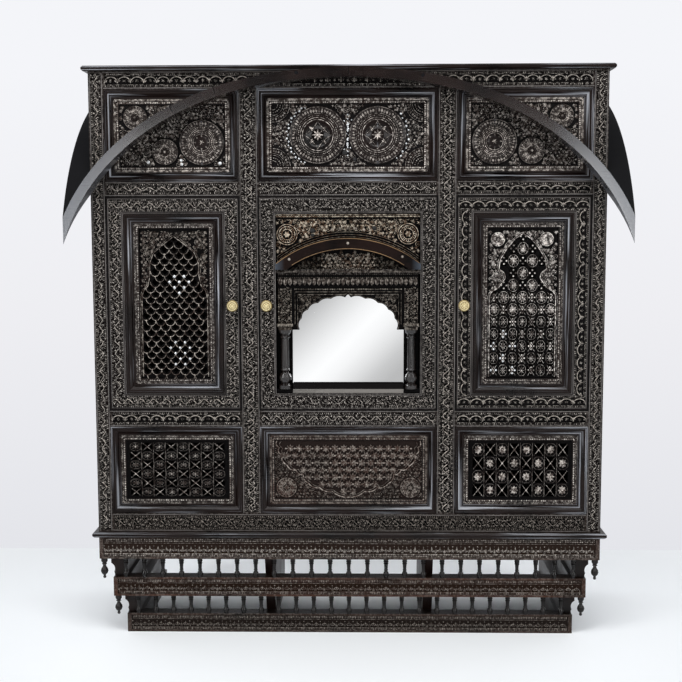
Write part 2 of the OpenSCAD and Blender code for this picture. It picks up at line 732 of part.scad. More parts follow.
// Coved boards close the sides between the tiers, from the row of balusters to the wall
module side_cove(step, z, h) {
    edge = body_w / 2 - step;
    top = edge + tier_step - pendant_d - 1;
    front = face_y + row_line(step) + bal_d / 2 + 2;
    round = h * 0.36;
    for (side = [-1, 1]) translate([0, wall_y, z]) rotate([90, 0, 0]) mirror([side < 0 ? 1 : 0, 0])
        linear_extrude(wall_y - front) difference() {
            polygon([[top - cove_t, 0], [edge - 1, 0], [edge - 1, h * 0.1], [top, h * 0.55], [top, h],
                [top - cove_t, h]]);
            translate([edge + round * 0.75, h * 0.32]) circle(r = round * 0.8);
        }
}
module upper_coves() { color(teak) side_cove(tier_step, tier_z + tier_h, upper_bal_h); }
module lower_coves() { color(teak) side_cove(2 * tier_step, plinth_h, lower_bal_h); }

// Turned pendants hang under the corners and the wall ends of the apron and the middle tier
module pendants(step, z, h) {
    r = pendant_d / 2;
    inset = step + r + 0.5;
    for (side = [-1, 1]) for (y = [face_y + inset, wall_y - r - 8])
        translate([side * (body_w / 2 - inset), y, z - h]) rotate_extrude()
            polygon([for (p = [[0, 0], [0.3, 0.02], [0.44, 0.07], [0.3, 0.14], [0.36, 0.17], [0.8, 0.25],
                [1, 0.36], [0.9, 0.46], [0.5, 0.58], [0.38, 0.66], [0.7, 0.7], [0.5, 0.74], [0.86, 0.84],
                [0.86, 1], [0, 1]]) [p[0] * r, p[1] * h]]);
}
module upper_pendants() { color(teak) pendants(0, apron_z, upper_pendant_h); }
module lower_pendants() { color(teak) pendants(tier_step, tier_z, lower_pendant_h); }

// Corbel brackets run from the wall to the backs of the tiers, with a cove between tiers
module bracket_outline() {
    y0 = -(face_y + tier_t);
    y1 = y0 - tier_step;
    y2 = y1 - tier_step;
    difference() {
        polygon([[-wall_y, 0], [y2, 0], [y2, plinth_h], [y1, tier_z], [y1, tier_z + tier_h],
            [y0, apron_z], [y0, lip_z], [-wall_y, lip_z]]);
        translate([y1 + 8, plinth_h + lower_bal_h * 0.38]) circle(d = lower_bal_h * 0.72);
        translate([y0 + 8, tier_z + tier_h + upper_bal_h * 0.38]) circle(d = upper_bal_h * 0.72);
    }
}
module brackets() {
    color(teak) for (side = [-1, 1])
        translate([side * (centre_w / 2 - bracket_in) - bracket_t / 2, 0, 0]) rotate([90, 0, 90])
            mirror([1, 0, 0]) linear_extrude(bracket_t) bracket_outline();
}

corner_posts();
wall_posts();
mullions();
bottom_rail();
lower_rails();
upper_rails();
top_rail();
upper_left_panel();
upper_middle_panel();
upper_right_panel();
lower_left_frame();
lower_left_lattice();
lower_middle_panel();
lower_right_frame();
lower_right_lattice();
left_leaf();
left_lattice();
right_leaf();
right_lattice();
middle_leaf();
pilasters();
colonnettes();
arch_board();
mirror_glass();
hood();
hood_panel();
knobs();
left_side_rails();
right_side_rails();
left_side_panels();
right_side_panels();
back_board();
floor_board();
roof_board();
top_cornice();
bottom_cornice();
front_eave();
left_eave();
right_eave();
front_apron();
side_aprons();
upper_balusters();
upper_coves();
front_tier();
side_tiers();
lower_balusters();
lower_coves();
front_plinth();
side_plinths();
brackets();
upper_pendants();
lower_pendants();
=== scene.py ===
# %% [markdown]
# # A carved teak oriel window
# The bay stands free, as a dealer shows it: dark, ebonised teak with carving on every member, glossy
# mouldings, brass knobs and a mirror in the middle leaf. The imported model gives every solid at its real
# size, so this file adds what a chisel, a lathe and a polishing cloth left on it, and paints shade,
# highlights and sheen onto the wood.

# %% Load the frame
import math
import bpy
import numpy as np
from mathutils import Matrix, Vector


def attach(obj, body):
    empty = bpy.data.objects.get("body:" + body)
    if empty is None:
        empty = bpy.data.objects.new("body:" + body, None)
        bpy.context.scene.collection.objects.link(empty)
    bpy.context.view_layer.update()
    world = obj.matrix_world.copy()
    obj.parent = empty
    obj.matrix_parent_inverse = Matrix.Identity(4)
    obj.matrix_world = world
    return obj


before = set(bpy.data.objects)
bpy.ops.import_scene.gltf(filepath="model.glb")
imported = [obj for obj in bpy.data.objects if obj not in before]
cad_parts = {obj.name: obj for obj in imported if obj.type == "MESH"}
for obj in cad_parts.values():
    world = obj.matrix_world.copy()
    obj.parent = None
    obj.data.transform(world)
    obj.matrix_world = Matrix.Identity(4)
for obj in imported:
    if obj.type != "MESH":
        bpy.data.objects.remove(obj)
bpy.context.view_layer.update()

# %% [markdown]
# ## Sizes of the bay
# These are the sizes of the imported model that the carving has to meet, in millimetres: the front, the
# levels of bands, fields and borders in front of it, and the places and sizes of panels and leaves.

# %% Sizes
MM = 0.001
FACE = -270.0
BAND, FIELD, BORDER, NET, LEAF_BORDER = -4.0, -20.0, -16.0, -18.0, -12.0
SIDE_X, LEAF_Z, UPPER_Z, LOWER_Z = 613.75, 1221.0, 1809.5, 625.5
SIDE_W, CENTRE_W, UPPER_H, LOWER_H, MOULDING = 472.5, 631, 319, 317, 52
LEAF_W, MIDDLE_W, LEAF_H = 466.5, 625, 752
LEAVES = (("left", -SIDE_X, LEAF_W), ("middle", 0, MIDDLE_W), ("right", SIDE_X, LEAF_W))
print("leaves:", LEAVES)

# %% [markdown]
# ## Colours and nodes
# Colours are picked as hex values, as from a paint card, and shaders work on linear light, so one
# function turns the first into the second. The others add shader nodes. What feeds a socket is a
# number, a hex value, an output, or a node, which stands for its first output. Sockets are named, or
# numbered as i0, i1 and so on.

# %% Helpers for materials
def linear(hex_colour):
    values = [int(hex_colour[i:i + 2], 16) / 255 for i in (0, 2, 4)]
    return [v / 12.92 if v <= 0.04045 else ((v + 0.055) / 1.055) ** 2.4 for v in values] + [1.0]


def wire(mat, source, socket):
    if isinstance(source, (float, str)):
        socket.default_value = linear(source) if isinstance(source, str) else source
    else:
        mat.node_tree.links.new(source.outputs[0] if hasattr(source, "outputs") else source, socket)


def add(mat, kind, settings=None, **links):
    node = mat.node_tree.nodes.new("ShaderNode" + kind)
    for key, value in (settings or {}).items():
        if isinstance(key, int) or key in node.inputs:
            node.inputs[key].default_value = value
        else:
            setattr(node, key, value)
    for key, source in links.items():
        numbered = key[0] == "i" and key[1:].isdigit()
        wire(mat, source, node.inputs[int(key[1:]) if numbered else key.replace("_", " ")])
    return node


def maths(mat, operation, *terms):
    return add(mat, "Math", {"operation": operation}, **{f"i{n}": term for n, term in enumerate(terms)})


def blend(mat, share, colour, other):
    return add(mat, "Mix", {"data_type": "RGBA"}, i0=share, i6=colour, i7=other).outputs[2]


def ramp(mat, source, stops):
    node = add(mat, "ValToRGB", Fac=source)
    row = node.color_ramp.elements
    row[0].position, row[1].position = stops[0][0], stops[-1][0]
    for place, colour in stops[1:-1]:
        row.new(place)
    for element, (place, colour) in zip(row, stops):
        element.color = linear(colour) if isinstance(colour, str) else [colour] * 3 + [1.0]
    return node.outputs[0]


def span(mat, source, low, high):
    """Runs from zero to one while the source runs from low to high."""
    return add(mat, "MapRange", {"From Min": low, "From Max": high}, Value=source).outputs[0]


def noise(mat, place, scale, detail=3.0, rough=0.5):
    return add(mat, "TexNoise", {"Scale": scale, "Detail": detail, "Roughness": rough}, Vector=place)


def start(name, base=None, rough=0.5, **sockets):
    """A new material and its shader."""
    mat = bpy.data.materials.new(name)
    mat.use_nodes = True
    mat.node_tree.nodes.clear()
    settings = {key.replace("_", " "): value for key, value in sockets.items()}
    if base:
        settings.update({"Base Color": linear(base), "Roughness": rough})
    shader = add(mat, "BsdfPrincipled", settings)
    add(mat, "OutputMaterial", Surface=shader)
    return mat, shader


def plain(name, base, rough, **sockets):
    return start(name, base, rough, **sockets)[0]


# %% [markdown]
# ## Teak
# Old teak that was stained black and waxed: the grain still shows as long fine streaks, with patches of
# red-brown where the stain has worn. On carving, the hollows get painted shade, almost black, and the
# crests a grey-brown that is partly wear and partly painted highlight, with patches of painted glints,
# so carved teak also looks at how far a point lies in front of the ground behind it. Smooth mouldings
# get a painted silver sheen along their slopes, and bent boards a painted grey sheen at their ends.

# %% Teak materials
GRAIN_MM = 4.0
CHIP_MM = 9.0
SHEEN_MM = (300, 5, 300)
BUMP_M = 0.0015
SATIN, DULL = 0.22, 0.05
HALF_GLINTS_AND_WEAR = (0.1, 0.4, 1.0)


def painted_relief_light(mat, place, colour, depth, rise, crest_wear_and_highlight, flats, glints_and_wear, pit_shade):
    """Painted shade in the pits, and wear with painted highlight and glints on the crests of carving."""
    ahead = span(mat, add(mat, "SeparateXYZ", Vector=place).outputs["Y"], (FACE + depth) * MM,
        (FACE + depth - rise) * MM)
    chips = noise(mat, place, 1 / (CHIP_MM * MM))
    light = ramp(mat, ahead, [(0.0, 0.0), (0.35, 0.3), (0.7, 1.0)]
        + ([(0.77, 0.95), (0.79, 0.1), (0.83, 0.1), (0.85, 1.0)] if flats else []))
    share = maths(mat, "MULTIPLY", light, ramp(mat, chips, list(zip((0.4, 0.5, 0.6), glints_and_wear))))
    crest = blend(mat, share, colour, crest_wear_and_highlight)
    return blend(mat, ramp(mat, ahead, [(0.18, 0.0), (0.68, 1.0)]), pit_shade, crest), chips


def sheen(mat, place, colour, shine):
    """Painted silver sheen in streaks on mouldings that slope up, down or sideways, not on their mitres."""
    facing = add(mat, "SeparateXYZ", Vector=add(mat, "NewGeometry").outputs["Normal"])
    tilt = ramp(mat, maths(mat, "ABSOLUTE", facing.outputs["Y"]),
        [(0.2, 0.0), (0.4, 1.0), (0.9, 1.0), (0.98, 0.0)])
    turned = maths(mat, "ABSOLUTE", maths(mat, "MULTIPLY", facing.outputs["X"], facing.outputs["Z"]))
    slope = maths(mat, "MULTIPLY", tilt, ramp(mat, turned, [(0.0, 1.0), (0.01, 0.0)]))
    long = add(mat, "Mapping", {"Scale": [1 / (size * MM) for size in SHEEN_MM]}, Vector=place)
    streak = ramp(mat, noise(mat, long, 1.0), [(0.5, 0.0), (0.72, 0.75)])
    return blend(mat, maths(mat, "MULTIPLY", slope, streak), colour, shine)


# A painted grey sheen that grows towards both ends of a bent board.
def painted_end_sheen(mat, place, colour, begin, end, grey):
    across = maths(mat, "ABSOLUTE", add(mat, "SeparateXYZ", Vector=place).outputs["X"])
    return blend(mat, span(mat, across, begin * MM, end * MM), colour, grey)


def teak(name, dark, brown, rough, axis, bump=0.35, coat=0.0, spec=SATIN, carving=None, shine=None,
        end_sheen=None, coat_ior=1.5, coat_rough=0.12):
    mat, shader = start(name, IOR=1.5, Coat_Weight=coat, Coat_Roughness=coat_rough, Coat_IOR=coat_ior,
        Specular_IOR_Level=spec)
    place = add(mat, "TexCoord").outputs["Object"]
    stretch = [1 / (GRAIN_MM * MM)] * 3
    stretch[axis] /= 14
    grain = noise(mat, add(mat, "Mapping", {"Scale": stretch}, Vector=place), 1.0, 4.0, 0.6)
    both = maths(mat, "MULTIPLY_ADD", grain, 0.45, noise(mat, place, 7.0))
    colour, height = ramp(mat, both, [(0.5, dark), (0.78, brown)]), grain
    if carving:
        colour, chips = painted_relief_light(mat, place, colour, *carving)
        height = maths(mat, "MULTIPLY_ADD", chips, 1.2, grain)
    if shine:
        colour = sheen(mat, place, colour, shine)
    if end_sheen:
        colour = painted_end_sheen(mat, place, colour, *end_sheen)
    wire(mat, colour, shader.inputs["Base Color"])
    wire(mat, ramp(mat, both, [(0.4, rough), (0.8, rough + 0.16)]), shader.inputs["Roughness"])
    wire(mat, add(mat, "Bump", Strength=bump, Distance=BUMP_M, Height=height), shader.inputs["Normal"])
    return mat


# Carved teak: painted shade in the hollows, and wear with a painted highlight and glints on the crests.
def carved(name, depth, rise, brown, crest_wear_and_highlight="c2bab3", glints_and_wear=(0.06, 0.33, 1.0), axis=2, flats=False,
        pit_shade="030202"):
    """Depth is how far the ground lies behind the front, and rise how high the crests stand on it."""
    return teak("carved_teak_" + name, "0a0706", brown, 0.3, axis, bump=0.8, spec=DULL,
        carving=(depth, rise, crest_wear_and_highlight, flats, glints_and_wear, pit_shade))


CARVED = carved("waxed", 4.0, 5.0, "17110f", "cac2ba", (0.0, 0.22, 1.0), flats=True)
LOW = carved("waxed_low", 4.0, 5.0, "1b1310", "9a928a", flats=True)
STEM = carved("stems", 4.0, 3.0, "1b1512", "b6aea5", (0.3, 0.65, 1.0))
PANEL = carved("field", 19.7, 5.0, "301f18", "d6cec6")
BOARD_CUT = carved("leaf", 15.7, 6.0, "5a3d26", "dfd3c0")
TYMPANUM = carved("hollow", 25.7, 7.0, "4a3222", "d0c6b8")
TYMPANUM_DARK = carved("hollow_ends", 25.7, 7.0, "2a1d15", "7d766c")
ARCH_CUT = carved("arch", 7.9, 4.5, "231a15", "8b847b")
ROUNDEL = carved("roundel", 17.0, 9.5, "1f1411", "c3bab2")
LINTEL_CUT = carved("lintel", 4.8, 6.5, "1f1511", "7c756e")
LATTICE = carved("net", 17.8, 4.6, "2a1b16", "a39b92")
CHEQUER = carved("chequer", 17.8, 4.6, "2a1b16", "e6dfd8", (0.08, 0.4, 1.0))
LOW_PANEL = carved("low_field", 19.7, 5.0, "3d2821", "958c84", HALF_GLINTS_AND_WEAR)
LOW_LATTICE = carved("low_lattice", 15.9, 4.6, "30201a", "cec6be", (0.09, 0.38, 1.0))
LEAF_EDGE = carved("leaf_edge", 11.9, 4.0, "2a1b16")
BASE = {back: carved(name, back + 4.0, 5.0, brown, crest_wear_and_highlight, HALF_GLINTS_AND_WEAR, 0, True, pit_shade)
    for back, name, brown, crest_wear_and_highlight, pit_shade in ((0, "apron", "2a1d18", "d4cbc2", "241a15"),
        (40, "tier", "3a251d", "a9a098", "20150f"), (80, "plinth", "2e221d", "a19991", "1b1512"))}
# Smooth mouldings: a painted silver sheen on their slopes.
SMOOTH_X = teak("planed_teak_across", "040303", "160e0c", 0.2, 0, shine="b8bbc2", spec=0.15)
SMOOTH_Z = teak("planed_teak_upright", "040303", "160e0c", 0.2, 2, shine="b8bbc2", spec=0.15)
SMOOTH_Y = teak("planed_teak_deep", "050404", "1f1310", 0.3, 1)
TURNED = teak("turned_teak_polished", "020202", "120b09", 0.15, 2, bump=0.1, coat=0.6, spec=0.5)
BALUSTER = teak("turned_teak_waxed", "010101", "0c0706", 0.18, 2, bump=0.1, spec=0.3)
# The eave and the hood get a painted grey sheen towards their ends.
EAVE = teak("bent_teak_polished", "050303", "170d0a", 0.2, 0, bump=0.0, coat=1.0, coat_ior=2.2,
    coat_rough=0.15, end_sheen=(690, 950, "5e6065"))
MATTE = teak("bent_teak_dull", "0a0a0c", "101012", 0.6, 1, bump=0.1, spec=0.06)
HOOD_TEAK = teak("hood_teak", "020202", "160c09", 0.35, 0, bump=0.2, spec=0.08, end_sheen=(222, 250, "343940"))
GOLDEN = teak("golden_teak_edge", "4a3826", "84694a", 0.35, 0)
SILL_SHEEN = teak("sill_painted_sheen", "504e4b", "6c6864", 0.3, 0, bump=0.1)
BOARD = teak("sawn_teak_back", "1a1411", "35271e", 0.55, 2, bump=0.6)

# %% [markdown]
# ## Brass, glass and small finishes
# The knobs are stamped sheet brass, and the glass of the middle leaf is a plain silvered mirror that
# shows a shaded card in front of the bay. Studs and nails have lost most of their stain and shine grey.
# The thin lines along the fillets are grey for wear and for a painted highlight on their edges. The
# ground between the carving is near black or brown, partly stain and partly painted shade, and black
# strips in the joints and under the mirror are painted shadow.

# %% Small finishes
BRASS = plain("brass_knobs", "8c7a50", 0.5, Metallic=0.5)
STAMPED = plain("brass_rubbed", "dccfa4", 0.5, Metallic=0.4)
MIRROR = plain("silvered_mirror", "f4f5f6", 0.03, Metallic=1.0)
CHIP = plain("mirror_chips", "c4c6c8", 0.2, Metallic=0.5)
HOLE_SHADE = plain("painted_hole_shade", "040303", 0.8)
GROUND_AND_SHADE = plain("black_ground_and_painted_shade", "060404", 0.75, Specular_IOR_Level=0.1)
BROWN_GROUND = plain("brown_ground", "19110e", 0.75, Specular_IOR_Level=0.1)
RUBBED = teak("rubbed_teak_edges", "3a332d", "9a9187", 0.35, 2, bump=0.5)
EDGE_WEAR_AND_HIGHLIGHT = teak("teak_lines_wear_and_painted_highlight", "26221f", "63605e", 0.35, 2, bump=0.5)

# %% [markdown]
# ## Give the solids their finishes
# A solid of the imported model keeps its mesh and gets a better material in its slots.

# %% Dress the solids
FINISH = {
    CARVED: ["corner_posts", "mullions", "lower_rails", "upper_rails", "top_rail", "middle_leaf"],
    BASE[0]: ["front_apron"],
    LOW: ["bottom_rail"],
    BOARD_CUT: ["hood_panel"],
    ARCH_CUT: ["arch_board", "pilasters"],
    LATTICE: ["left_lattice"],
    CHEQUER: ["right_lattice"],
    LOW_LATTICE: ["lower_left_lattice", "lower_right_lattice"],
    BASE[40]: ["front_tier"],
    BASE[80]: ["front_plinth"],
    HOOD_TEAK: ["hood"],
    SMOOTH_X: ["lower_left_frame", "lower_right_frame", "top_cornice", "bottom_cornice",
        "upper_left_panel", "upper_middle_panel", "upper_right_panel", "lower_middle_panel"],
    SMOOTH_Z: ["wall_posts", "left_side_panels", "right_side_panels", "left_leaf", "right_leaf"],
    SMOOTH_Y: ["left_side_rails", "right_side_rails", "side_aprons", "side_tiers", "side_plinths",
        "brackets", "upper_coves", "lower_coves"],
    TURNED: ["colonnettes"],
    BALUSTER: ["upper_balusters", "lower_balusters", "upper_pendants", "lower_pendants"],
    EAVE: ["front_eave"],
    MATTE: ["left_eave", "right_eave"],
    BOARD: ["back_board", "floor_board", "roof_board"],
    BRASS: ["knobs"],
    MIRROR: ["mirror_glass"],
}
for material, names in FINISH.items():
    for name in names:
        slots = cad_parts[name].data.materials
        slots.clear()
        slots.append(material)
print("finishes:", len(FINISH))

# %% [markdown]
# ## The chisel
# All carving is built from two shapes: a ridge, which is a line with a cross section, and a dome. Each
# is drawn flat, with u to the right, v up and w out of the wood, in millimetres. A pattern is a list of
# such shapes joined into one, and it is stamped many times along a band or over a field.

# %% Ridges and domes
SHARP = [(-1, 0), (0, 1), (1, 0)]
ROUND = [(-1, 0), (-0.6, 0.85), (0.6, 0.85), (1, 0)]
VEINED = [(-1, 0), (-0.62, 1), (0, 0.35), (0.62, 1), (1, 0)]


def ridge(points, half, high, profile=SHARP, closed=False):
    line = np.asarray(points, float)
    if closed:
        along = np.roll(line, -1, 0) - np.roll(line, 1, 0)
    else:
        along = np.gradient(line, axis=0)
    along /= np.linalg.norm(along, axis=1)[:, None] + 1e-9
    left = np.stack([-along[:, 1], along[:, 0]], 1)
    half, high = np.broadcast_to(half, len(line)), np.broadcast_to(high, len(line))
    rows = [np.column_stack([line + left * (half * side)[:, None], high * rise]) for side, rise in profile]
    verts = np.array(rows).transpose(1, 0, 2).reshape(-1, 3)
    n, k = len(line), len(profile)
    i, m = np.meshgrid(np.arange(n if closed else n - 1), np.arange(k - 1), indexing="ij")
    a, b = (i * k + m).ravel(), ((i + 1) % n * k + m).ravel()
    return verts, np.vstack([np.column_stack([a, b, b + 1]), np.column_stack([a, b + 1, a + 1])])


def dome(sides=6, rings=((1, 0), (0.7, 0.75))):
    turn = np.arange(sides) * 2 * math.pi / sides
    verts = [np.column_stack([r * np.cos(turn), r * np.sin(turn), np.full(sides, h)]) for r, h in rings]
    i = np.arange(sides)
    j = (i + 1) % sides
    tris = []
    for ring in range(len(rings) - 1):
        a, b = i + ring * sides, j + ring * sides
        tris += [np.column_stack([a, b, b + sides]), np.column_stack([a, b + sides, a + sides])]
    last = (len(rings) - 1) * sides
    tris.append(np.column_stack([i + last, j + last, np.full(sides, len(rings) * sides)]))
    return np.vstack(verts + [[[0, 0, 1.0]]]), np.vstack(tris)


def stamp(shape, places):
    """Each place is u, v, w and, where needed, a turn in degrees and scales along, across and out."""
    verts, tris = shape
    rows = np.array([[*p, *(0, 1, 1, 1)[len(p) - 3:]] for p in places], float)
    turn = np.radians(rows[:, 3])[:, None]
    size = verts[None] * rows[:, None, 4:7]
    out = np.empty_like(size)
    out[..., 0] = rows[:, :1] + size[..., 0] * np.cos(turn) - size[..., 1] * np.sin(turn)
    out[..., 1] = rows[:, 1:2] + size[..., 0] * np.sin(turn) + size[..., 1] * np.cos(turn)
    out[..., 2] = rows[:, 2:3] + size[..., 2]
    many = tris[None] + (np.arange(len(rows)) * len(verts))[:, None, None]
    return out.reshape(-1, 3), many.reshape(-1, 3)


def joined(*shapes):
    verts, tris, count = [], [], 0
    for shape in shapes:
        verts.append(shape[0])
        tris.append(shape[1] + count)
        count += len(shape[0])
    return np.vstack(verts), np.vstack(tris)


def flipped(shape):
    return shape[0] * [-1, 1, 1], shape[1][:, ::-1]


def moved(shape, u, v, w, high=1.0):
    return shape[0] * [1, 1, high] + [u, v, w], shape[1]


def raised(shape, w):
    return moved(shape, 0, 0, w)


BEAD = dome()
BOSS = dome(10, ((1, 0), (0.85, 0.6), (0.45, 0.95)))


def bead_at(places, size, high):
    return stamp(BEAD, [(u, v, 0, 0, size, size, high) for u, v in places])


def discs(places, high=5.0):
    """Bosses at places u, v, w, each with its radius."""
    return stamp(BOSS, [(u, v, w, 0, r, r, high) for u, v, w, r in places])


print("bead triangles:", len(BEAD[1]))

# %% [markdown]
# ## Leaves, curls and flowers
# A leaf swells and closes again along its length, with a vein down the middle. A curl is a stem that
# winds up and thins out. A flower is a ring of leaves round a bead. All of them have a length or a
# radius of one.

# %% Ornaments
CURL_TURNS = 1.35


def polar(radius, turn, u=0.0, v=0.0):
    """The point at a radius and a turn in radians round (u, v)."""
    return u + radius * math.cos(turn), v + radius * math.sin(turn)


def leaf(stations=5, plump=0.28, profile=VEINED):
    s = np.linspace(0, 1, stations)
    swell = np.sin(np.pi * s ** 0.8) * plump + 0.015
    return ridge(np.column_stack([s, 0 * s]), swell, np.sin(np.pi * np.clip(s, 0.08, 0.95)) ** 0.5, profile)


def arc(radius, begin, end, count, centre=(0, 0)):
    turn = np.radians(np.linspace(begin, end, count))
    return np.column_stack([centre[0] + radius * np.cos(turn), centre[1] + radius * np.sin(turn)])


def curl():
    s = np.linspace(0, 1, 13)
    turn = np.pi * 0.5 - s * CURL_TURNS * 2 * np.pi
    reach = 0.5 * (1 - s) ** 0.8 + 0.06
    line = np.column_stack([reach * np.cos(turn), reach * np.sin(turn)])
    return ridge(line, 0.1 * (1 - 0.5 * s), 1 - 0.2 * s)


def ring(radius, half, high, sides=40):
    return ridge(arc(radius, 0, 360, sides + 1)[:-1], half, high, closed=True)


LEAF = leaf()
SLIM = leaf(4, 0.2, SHARP)
CURL = curl()


def flower(petals, radius, high, shape=SLIM, width=None):
    width = width or 2.6 * radius / petals
    leaves = stamp(shape, [(0, 0, 0, 360 * i / petals, radius, width * 2, high) for i in range(petals)])
    return joined(leaves, bead_at([(0, 0)], radius * 0.24, high * 1.25))


def bead_ring(radius, pitch, size, high):
    count = max(6, round(2 * math.pi * radius / pitch))
    return bead_at([polar(radius, 2 * math.pi * i / count) for i in range(count)], size / 2, high)


print("leaf triangles:", len(LEAF[1]), "curl triangles:", len(CURL[1]))

# %% [markdown]
# ## Roundels
# A roundel is a set of rings with leaves and beads between them over a dished disc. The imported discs
# are hollowed in steps, so the level of a ring follows from its share of the radius. Large ones have a
# star in the middle, and the ones on a flat ground lie on one level.

# %% Roundels
DISH = ((0, 12), (0.22, 12), (0.34, 6), (0.42, 9.6), (0.75, 5.4), (0.9, 8.4), (1, 4.8))


def dish(share):
    return float(np.interp(share, *zip(*DISH)))


def flat_disc(_):
    """All of a flat roundel lies on one level."""
    return 2.0


def roundel(r, star=False, level=dish):
    def hoop(share, half, high, sides=40, lower=0.0):
        return raised(ring(share * r, half, high, sides), level(share) - lower)

    def beads(share, pitch, size, high):
        return raised(bead_ring(share * r, pitch, size, high), level(share))

    spokes = round(2 * math.pi * 0.86 * r / 10)
    turns = [2 * math.pi * i / spokes for i in range(spokes)]
    parts = [hoop(0.965, 1.8, 3.2, lower=0.6),
        stamp(LEAF, [(*polar(0.77 * r, a), level(0.84) - 1.2, math.degrees(a), 0.17 * r, 13, 4.2)
            for a in turns]),
        hoop(0.745, 1.5, 3.0), beads(0.675, 6.5, 5, 3.2), hoop(0.605, 1.3, 2.6), hoop(0.535, 1.3, 2.6)]
    if star:
        turn = np.radians(np.arange(0, 360, 10))
        points = np.column_stack([np.sign(way) * abs(way) ** 2.6 for way in (np.cos(turn), np.sin(turn))])
        parts += [raised(ridge(points * 0.5 * r, 1.6, 4.5, closed=True), level(0.34)),
            stamp(LEAF, [(0, 0, level(0.4) - 2, 45 + 90 * i, 0.46 * r, 0.22 * r, 5) for i in range(4)]),
            raised(flower(8, 0.2 * r, 3.5), level(0.1))]
    else:
        parts += [beads(0.46, 6, 4.4, 3), hoop(0.38, 1.2, 2.6, 24),
            stamp(LEAF, [(0, 0, level(0.3) - 1, t, 0.34 * r, 0.2 * r, 4.5) for t in range(0, 360, 45)]),
            raised(flower(6, 0.12 * r, 3.0), level(0.05))]
    return joined(*parts)


print("roundel triangles:", len(roundel(78)[1]))

# %% [markdown]
# ## Bands and fields
# A tile is one repeat of a band. It is stamped a whole number of times between two points, stretched a
# little so that it comes out even. A border is four such bands round a rectangle. A field of foliage
# fills what is left free between roundels with leaves, curls and buds in staggered rows.

# %% Tiles
LIFT = 1.4


def bead_rows(period, half, pitch=7.0, size=5.2):
    count = round(period / pitch)
    return bead_at([((i + 0.5) * period / count, side * (half - 3.2)) for i in range(count)
        for side in (-1, 1)], size / 2, 3.4)


def straight(length, v, half=1.2, high=3.0):
    return ridge([(0, v), (length, v)], half, high)


def beaded_edges(period, half):
    return [bead_rows(period, half), straight(period, half - 7.6), straight(period, 7.6 - half)]


def wave(period, height, half, high):
    s = np.linspace(0, 1, 15)
    return ridge(np.column_stack([s * period, height * np.sin(2 * np.pi * s)]), half, high)


def vine_tile(period, half, edges=True):
    inner = half - (10 if edges else 3)
    parts = [wave(period, inner * 0.62, 1.5, 4.4)]
    for side, begin in ((1, 0.25), (-1, 0.75)):
        mid = begin * period
        parts += [stamp(CURL if side > 0 else flipped(CURL), [(mid, -side * inner * 0.12, 0,
            90 - side * 90, inner * 0.9, inner * 0.9, 4.2)]),
            bead_at([(mid, -side * inner * 0.12)], 2.4, 4.6),
            stamp(LEAF, [(mid - 3, -side * inner * 0.45, 0, -side * 125, inner * 0.6, inner * 0.8, 4),
                (mid + 3, -side * inner * 0.45, 0, -side * 55, inner * 0.6, inner * 0.8, 4)]
                + [(mid + way * period * 0.16, side * inner * 0.55, 0, side * (90 - way * 60),
                    inner * 0.55, inner * 0.7, 3.6) for way in (-1, 1)])]
    fill = [(0.02, 0.75), (0.12, -0.8), (0.38, 0.9), (0.5, -0.75), (0.5, 0.6), (0.62, -0.9), (0.88, 0.8),
        (0.98, -0.6)]
    parts.append(stamp(LEAF, [(a * period, b * inner, 0, 90 * (b < 0) - 45 + 360 * a, inner * 0.42,
        inner * 0.62, 3.8) for a, b in fill]))
    dots = ((0.07, -0.3), (0.18, 0.95), (0.32, -0.95), (0.43, 0.2), (0.57, -0.2), (0.68, 0.95),
        (0.82, -0.95), (0.93, 0.3))
    parts.append(bead_at([(a * period, b * inner) for a, b in dots], 2.1, 4.2))
    return joined(*parts, *(beaded_edges(period, half) if edges else []))


def hoop(period, height, half, high):
    s = np.radians(np.linspace(0, 180, 13))
    line = [period * (0.5 - 0.5 * np.cos(s)), -height * 0.7 + height * 1.5 * np.sin(s)]
    return ridge(np.column_stack(line), half, high)


def arcs_tile(period, half):
    inner = half - 9
    parts = [hoop(period, inner, 1.5, 4.2),
        stamp(flower(6, 1.0, 1.0), [(period / 2, -inner * 0.15, 0, 30, inner * 0.52, inner * 0.52, 4.4)]),
        stamp(LEAF, [(0, -inner * 0.6, 0, 90, inner * 1.3, inner * 0.9, 4.2),
            (2, -inner * 0.5, 0, 40, inner * 0.8, inner * 0.8, 3.6),
            (period - 2, -inner * 0.5, 0, 140, inner * 0.8, inner * 0.8, 3.6)])]
    return joined(*parts, *beaded_edges(period, half))


def petal_tile(period, half):
    return joined(stamp(LEAF, [(period / 2, -half, 0, 90, half * 2, period * 1.7, 7)]),
        stamp(SLIM, [(0, -half * 0.2, 0, 90, half * 1.1, period * 0.9, 4)]))


def scallop_tile(period, half):
    hoop = arc(period * 0.44, 0, 180, 7, (period / 2, -half * 0.6))
    return joined(ridge(hoop, 1.0, 2.8), bead_at([(period / 2, -half * 0.3)], 1.7, 3),
        bead_at([(0, half * 0.55)], 1.5, 2.6), straight(period, half - 0.6, 0.9, 2.6))


def palmette_tile(period, half):
    hoop = arc(period * 0.42, 0, 180, 9, (period / 2, -half * 0.55))
    fan = [(period / 2, -half * 0.45, 0, t, half * (0.72 if t == 90 else 0.5), half * 0.26, 3.4)
        for t in (35, 90, 145)]
    return joined(ridge(hoop, 1.2, 3.4), stamp(LEAF, fan),
        bead_at([(0, half * 0.2)], 2.4, 3.4),
        stamp(LEAF, [(0, -half * 0.6, 0, 90, half * 0.6, half * 0.3, 3.4)]),
        straight(period, half * 0.52), straight(period, -half * 0.68),
        bead_rows(period, half * 0.75 + 3.2, 6.5, 5), bead_rows(period, half + 1, 6.5, 5))


